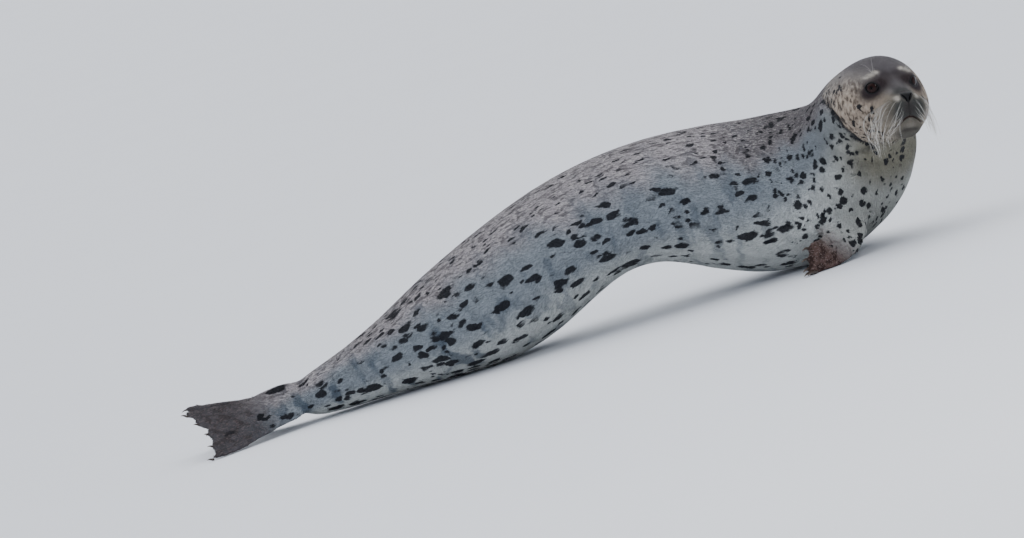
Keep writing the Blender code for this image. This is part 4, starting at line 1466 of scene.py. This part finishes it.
def tube(path, radii, sides):
    """Corners, faces and shares along its length of a closed tapered tube."""
    path = np.asarray(path)
    ways = unit(np.gradient(path, axis=0))
    aside = unit(np.cross(ways, ways[0] + np.array([0.31, 0.17, 0.53])))
    above = np.cross(ways, aside)
    turns = np.linspace(0, 2 * math.pi, sides, endpoint=False)
    ring = np.cos(turns)[None, :, None] * aside[:, None] + np.sin(turns)[None, :, None] * above[:, None]
    rows = path[:, None] + ring * np.asarray(radii)[:, None, None]
    last = (len(path) - 1) * sides
    faces = [face for start in range(0, last, sides) for face in ring_faces(start, sides)]
    faces += [tuple(range(sides - 1, -1, -1)), tuple(range(last, last + sides))]
    return rows.reshape(-1, 3), faces, np.repeat(np.linspace(0, 1, len(path)), sides)


def join_tubes(name, tubes):
    rows, faces, along = zip(*tubes)
    starts = np.cumsum([0, *(len(part) for part in rows)]).tolist()
    joined = [tuple(i + start for i in face) for start, part in zip(starts, faces) for face in part]
    mesh = bpy.data.meshes.new(name)
    mesh.from_pydata(np.concatenate(rows).tolist(), [], joined)
    add_attribute(mesh, "along", np.concatenate(along), "FLOAT")
    obj = new_object(name, mesh)
    fix_winding(obj)
    mesh.shade_smooth()
    return obj


def build_claws(flipper_name):
    """Five horns, each on the line of the solid claw, rooted in the skin and bent a little down."""
    flipper = FLIPPERS[flipper_name]
    shares = np.linspace(-0.25, 1.0, 14)
    taper = np.clip(1 - shares, 0.0, 1.0) ** 0.75
    tubes = []
    for node in claw_nodes(flipper_name):
        points = node_points(node)
        out = (points - flipper.wrist) @ flipper.way
        tip, root = points[out.argmax()], points[np.argsort(out)[:6]].mean(0)
        way = tip - root
        off_axis = (points - root) - ((points - root) @ unit(way))[:, None] * unit(way)
        width = np.linalg.norm(off_axis, axis=1).max()
        path = root + shares[:, None] * way
        path[:, 2] += 0.10 * np.linalg.norm(way) * np.sin(np.clip(shares, 0, 1) * math.pi)
        radii = width * 0.92 * (0.06 + 0.94 * taper)
        path[:, 2] = np.maximum(path[:, 2], radii + 0.0004)
        tubes.append(tube(path, radii, 12))
    return join_tubes(flipper_name.replace("flipper", "claws"), tubes)


Whisker = namedtuple("Whisker", "at way length width droop clump")  # a lock's number, or 0 where in none
PAD_ROWS, BROW_HAIRS = 7, 6  # rows of whiskers on each pad, and hairs over each eye
WHISKER_STEPS = 18
WHISKER_GAP = 0.0016  # least distance of a whisker's middle from the skin


def whisker_plan():
    """Each whisker, in head axes: rows on each pad, longer on the right one, and some over each eye."""
    rng = np.random.default_rng(SEED + 2)
    longest = bpy.context.scene.seal_face.whisker
    plan = []
    for side in (1, -1):
        for row in range(PAD_ROWS):
            for place in range(7 if row % 2 else 6):
                share = (place + 0.5 * (row % 2)) / 6
                at = (0.152 - 0.032 * share, side * (0.014 + 0.032 * share), -0.023 - 0.0048 * row)
                at = tuple(np.array(at) + rng.normal(0, 0.0008, 3))
                length = longest * (0.35 + 0.65 * share) * (1 - 0.05 * abs(row - 3))
                length *= (0.70 + 0.40 * rng.random()) * (0.86 - 0.14 * side)
                outwards = (0.75 + 0.1 * share) * (0.55 if side > 0 else -1)
                way = (0.10 - 0.90 * share, outwards, -0.40 - 0.13 * row + 0.16 * rng.normal())
                clump = side * int(1 + rng.integers(0, 8))
                width, droop = 0.00044 + 0.00026 * share, 0.30 + 0.07 * side
                plan.append(Whisker(at, way, length, width, droop, clump))
        for brow in range(BROW_HAIRS):
            ahead, over = 0.084 + 0.004 * (brow % 3), 0.038 + 0.0020 * (brow % 3)
            at = (ahead, side * (0.030 + 0.0035 * (brow // 2)), over)
            way = (0.30 + 0.15 * rng.normal(), side * (0.55 + 0.2 * rng.normal()), 0.60)
            plan.append(Whisker(at, way, longest * (0.20 + 0.14 * rng.random()), 0.00034, 0.06, 0))
    return plan


def off_skin(surface, at):
    """The place, or where it is too near the skin a place just off the skin."""
    spot, out, _, _ = surface.find_nearest(at)
    spot, out = np.array(spot), np.array(out)
    return spot + out * WHISKER_GAP if (at - spot) @ out < WHISKER_GAP else at


def whisker_path(whisker, surface, rng):
    """A path that leaves the skin, bends down with its weight, and stays off the skin."""
    start, normal, _, _ = surface.find_nearest(head.out(whisker.at))
    way = unit(head.out_way(whisker.way) + 0.40 * np.array(normal))
    path, at = [], np.array(start) - way * 0.002
    step = whisker.length / (WHISKER_STEPS - 1)
    bend = rng.normal(0, 0.016, 3)
    for i in range(WHISKER_STEPS):
        path.append(at.copy())
        way = unit(way + np.array([0, 0, -whisker.droop]) * (0.25 + i / 14) + bend)
        free = at + way * step
        at = off_skin(surface, free) if i > 1 else free
        if at is not free:
            way = unit(at - path[-1])
    return np.array(path)


def build_whiskers(skin):
    """Tapered hairs that leave the pads sideways, droop, and hang together in wet locks at their ends."""
    surface = surface_of(skin.data)
    rng = np.random.default_rng(SEED + 3)
    plan = whisker_plan()
    paths = [whisker_path(whisker, surface, rng) for whisker in plan]
    tubes = []
    for whisker, path in zip(plan, paths):
        if whisker.clump:
            mates = np.mean([p for w, p in zip(plan, paths) if w.clump == whisker.clump], axis=0)
            pull = 0.68 * ease((np.linspace(0, 1, WHISKER_STEPS) - 0.25) / 0.6)[:, None]
            path = path + (mates - path) * pull
            path[2:] = [off_skin(surface, at) for at in path[2:]]
        radii = whisker.width * 0.5 * (1 - np.linspace(0, 1, WHISKER_STEPS) ** 1.5 * 0.80)
        tubes.append(tube(path, radii, 5))
    return join_tubes("whiskers", tubes)


# ---- stage ---------------------------------------------------------------------------------------
def build_bowl():
    """A wide flat floor whose edge turns up, as one sheet."""
    rings = [(3.0, 0.0), (20.0, 0.0), (90.0, 0.0)]  # radius and height
    rings += [(90.0 + 30 * math.sin(t), 30 - 30 * math.cos(t)) for t in np.linspace(0.1, 1.5, 14)]
    sides = 96
    turns = [2 * math.pi * k / sides for k in range(sides)]
    rows = [(0.0, 0.0, 0.0)]
    rows += [(r * math.cos(turn), r * math.sin(turn), height) for r, height in rings for turn in turns]
    faces = [(0, 1 + k, 1 + (k + 1) % sides) for k in range(sides)]
    for start in range(1, 1 + (len(rings) - 1) * sides, sides):
        faces += [face[::-1] for face in ring_faces(start, sides)]
    mesh = bpy.data.meshes.new("floor")
    mesh.from_pydata(rows, [], faces)
    mesh.shade_smooth()
    return new_object("floor", mesh)


def add_light(name, place, aim, size, power, colour):
    light = bpy.data.lights.new(name, "AREA")
    light.shape, light.size, light.energy, light.color = "DISK", size, power, colour
    obj = new_object(name, light)
    obj.location = place
    obj.rotation_euler = (Vector(aim) - Vector(place)).to_track_quat("-Z", "Y").to_euler()


def add_sky_light():
    """A very wide sun from a little behind the seal's back, as under a bright overcast sky."""
    light = bpy.data.lights.new("overhead", "SUN")
    light.energy, light.angle, light.color = 2.7, math.radians(100), (1.0, 0.985, 0.97)
    obj = new_object("overhead", light)
    obj.rotation_euler = Vector((-0.10, 0.35, 1.0)).to_track_quat("Z", "Y").to_euler()


AIM = Vector((-0.08151, 0.05094, 0.178))
LOW_VIEW = math.radians(5)  # how far above the floor the camera looks from
ROLL = math.radians(-18)  # the seal lies on a slope in the view, and on a level floor in the scene
SPAN = 2.0992  # width of the view at the seal


def build_camera():
    settings = bpy.context.scene.seal_stage
    back = Vector((0.0, -math.cos(LOW_VIEW), math.sin(LOW_VIEW)))
    data = bpy.data.cameras.new("view")
    data.lens = data.sensor_width * settings.distance / SPAN
    data.clip_end = 400.0
    camera = new_object("view", data)
    camera.location = AIM + back * settings.distance
    camera.rotation_mode = "QUATERNION"
    camera.rotation_quaternion = (-back).to_track_quat("-Z", "Y") @ Quaternion((0, 0, 1), ROLL)
    bpy.context.scene.camera = camera


def build_world():
    world = bpy.data.worlds.new("studio")
    world.use_nodes = True
    background = world.node_tree.nodes["Background"]
    background.inputs["Color"].default_value = (0.80, 0.87, 1.0, 1)
    background.inputs["Strength"].default_value = 0.62
    bpy.context.scene.world = world


# ---- operators -----------------------------------------------------------------------------------
def dress(obj, material):
    obj.data.materials.clear()
    obj.data.materials.append(material)
    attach(obj, "root")


class SEAL_OT_skin(bpy.types.Operator):
    """Casts the flesh as one skin, with folds, lids, nose and mouth"""

    bl_idname = "seal.skin"
    bl_label = "Build the skin"
    bl_options = {"REGISTER", "UNDO"}

    def execute(self, context):
        skin = build_skin()
        mark_skin(skin.data)
        dress(skin, coat_material())
        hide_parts(*FLESH)
        return {"FINISHED"}


class SEAL_OT_trunk_coat(bpy.types.Operator):
    """Lays tufts over the trunk, the neck and the head"""

    bl_idname = "seal.trunk_coat"
    bl_label = "Build the trunk's coat"
    bl_options = {"REGISTER", "UNDO"}

    def execute(self, context):
        for piece in build_trunk_coat(measured(bpy.data.objects["skin"])):
            dress(piece, bpy.data.materials["seal_coat"])
        return {"FINISHED"}


class SEAL_OT_limb_coat(bpy.types.Operator):
    """Lays short tufts over the flippers and the tail"""

    bl_idname = "seal.limb_coat"
    bl_label = "Build the limbs' coat"
    bl_options = {"REGISTER", "UNDO"}

    def execute(self, context):
        for piece in build_limb_coat(measured(bpy.data.objects["skin"])):
            dress(piece, bpy.data.materials["seal_coat"])
        return {"FINISHED"}


class SEAL_OT_eyes(bpy.types.Operator):
    """Sets a glossy ball behind the lids of each eye"""

    bl_idname = "seal.eyes"
    bl_label = "Build the eyes"
    bl_options = {"REGISTER", "UNDO"}

    def execute(self, context):
        material = eye_material()
        for name in EYES:
            ball = build_eye(name)
            dress(ball, material)
            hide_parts(name)
        return {"FINISHED"}


class SEAL_OT_claws(bpy.types.Operator):
    """Sets five horns on each flipper"""

    bl_idname = "seal.claws"
    bl_label = "Build the claws"
    bl_options = {"REGISTER", "UNDO"}

    def execute(self, context):
        material = claw_material()
        for name in FLIPPERS:
            claws = build_claws(name)
            dress(claws, material)
            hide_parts(*claw_nodes(name))
        return {"FINISHED"}


class SEAL_OT_whiskers(bpy.types.Operator):
    """Sets the whiskers in the pads and over the eyes"""

    bl_idname = "seal.whiskers"
    bl_label = "Build the whiskers"
    bl_options = {"REGISTER", "UNDO"}

    def execute(self, context):
        dress(build_whiskers(bpy.data.objects["skin"]), whisker_material())
        return {"FINISHED"}


class SEAL_OT_stage(bpy.types.Operator):
    """Lays the floor and sets the lights and the camera"""

    bl_idname = "seal.stage"
    bl_label = "Set the stage"
    bl_options = {"REGISTER", "UNDO"}

    def execute(self, context):
        floor = build_bowl()
        floor.data.materials.append(floor_material())
        add_sky_light()
        add_light("front", (2.2, -4.5, 3.0), (0.3, 0, 0.2), 1.6, 60, (1.0, 0.98, 0.95))
        build_world()
        build_camera()
        return {"FINISHED"}


OPERATORS = (
    SEAL_OT_skin,
    SEAL_OT_trunk_coat,
    SEAL_OT_limb_coat,
    SEAL_OT_eyes,
    SEAL_OT_claws,
    SEAL_OT_whiskers,
    SEAL_OT_stage,
)


class SEAL_PT_looks(bpy.types.Panel):
    """Lists the seal's pieces and their settings"""

    bl_idname = "SEAL_PT_looks"
    bl_label = "Spotted seal"
    bl_space_type = "VIEW_3D"
    bl_region_type = "UI"
    bl_category = "Seal"

    def draw(self, context):
        for operator in OPERATORS:
            self.layout.operator(operator.bl_idname)
        for name, settings in SETTINGS.items():
            box = self.layout.box()
            for key in settings.__annotations__:
                box.prop(getattr(context.scene, name), key)


CLASSES = (*SETTINGS.values(), *OPERATORS, SEAL_PT_looks)


def register():
    for cls in CLASSES:
        bpy.utils.register_class(cls)
    for name, settings in SETTINGS.items():
        setattr(bpy.types.Scene, name, PointerProperty(type=settings))


def unregister():
    for name in SETTINGS:
        delattr(bpy.types.Scene, name)
    for cls in reversed(CLASSES):
        bpy.utils.unregister_class(cls)


def main():
    register()
    for operator in OPERATORS:
        group, name = operator.bl_idname.split(".")
        getattr(getattr(bpy.ops, group), name)()


if __name__ == "__main__":
    main()
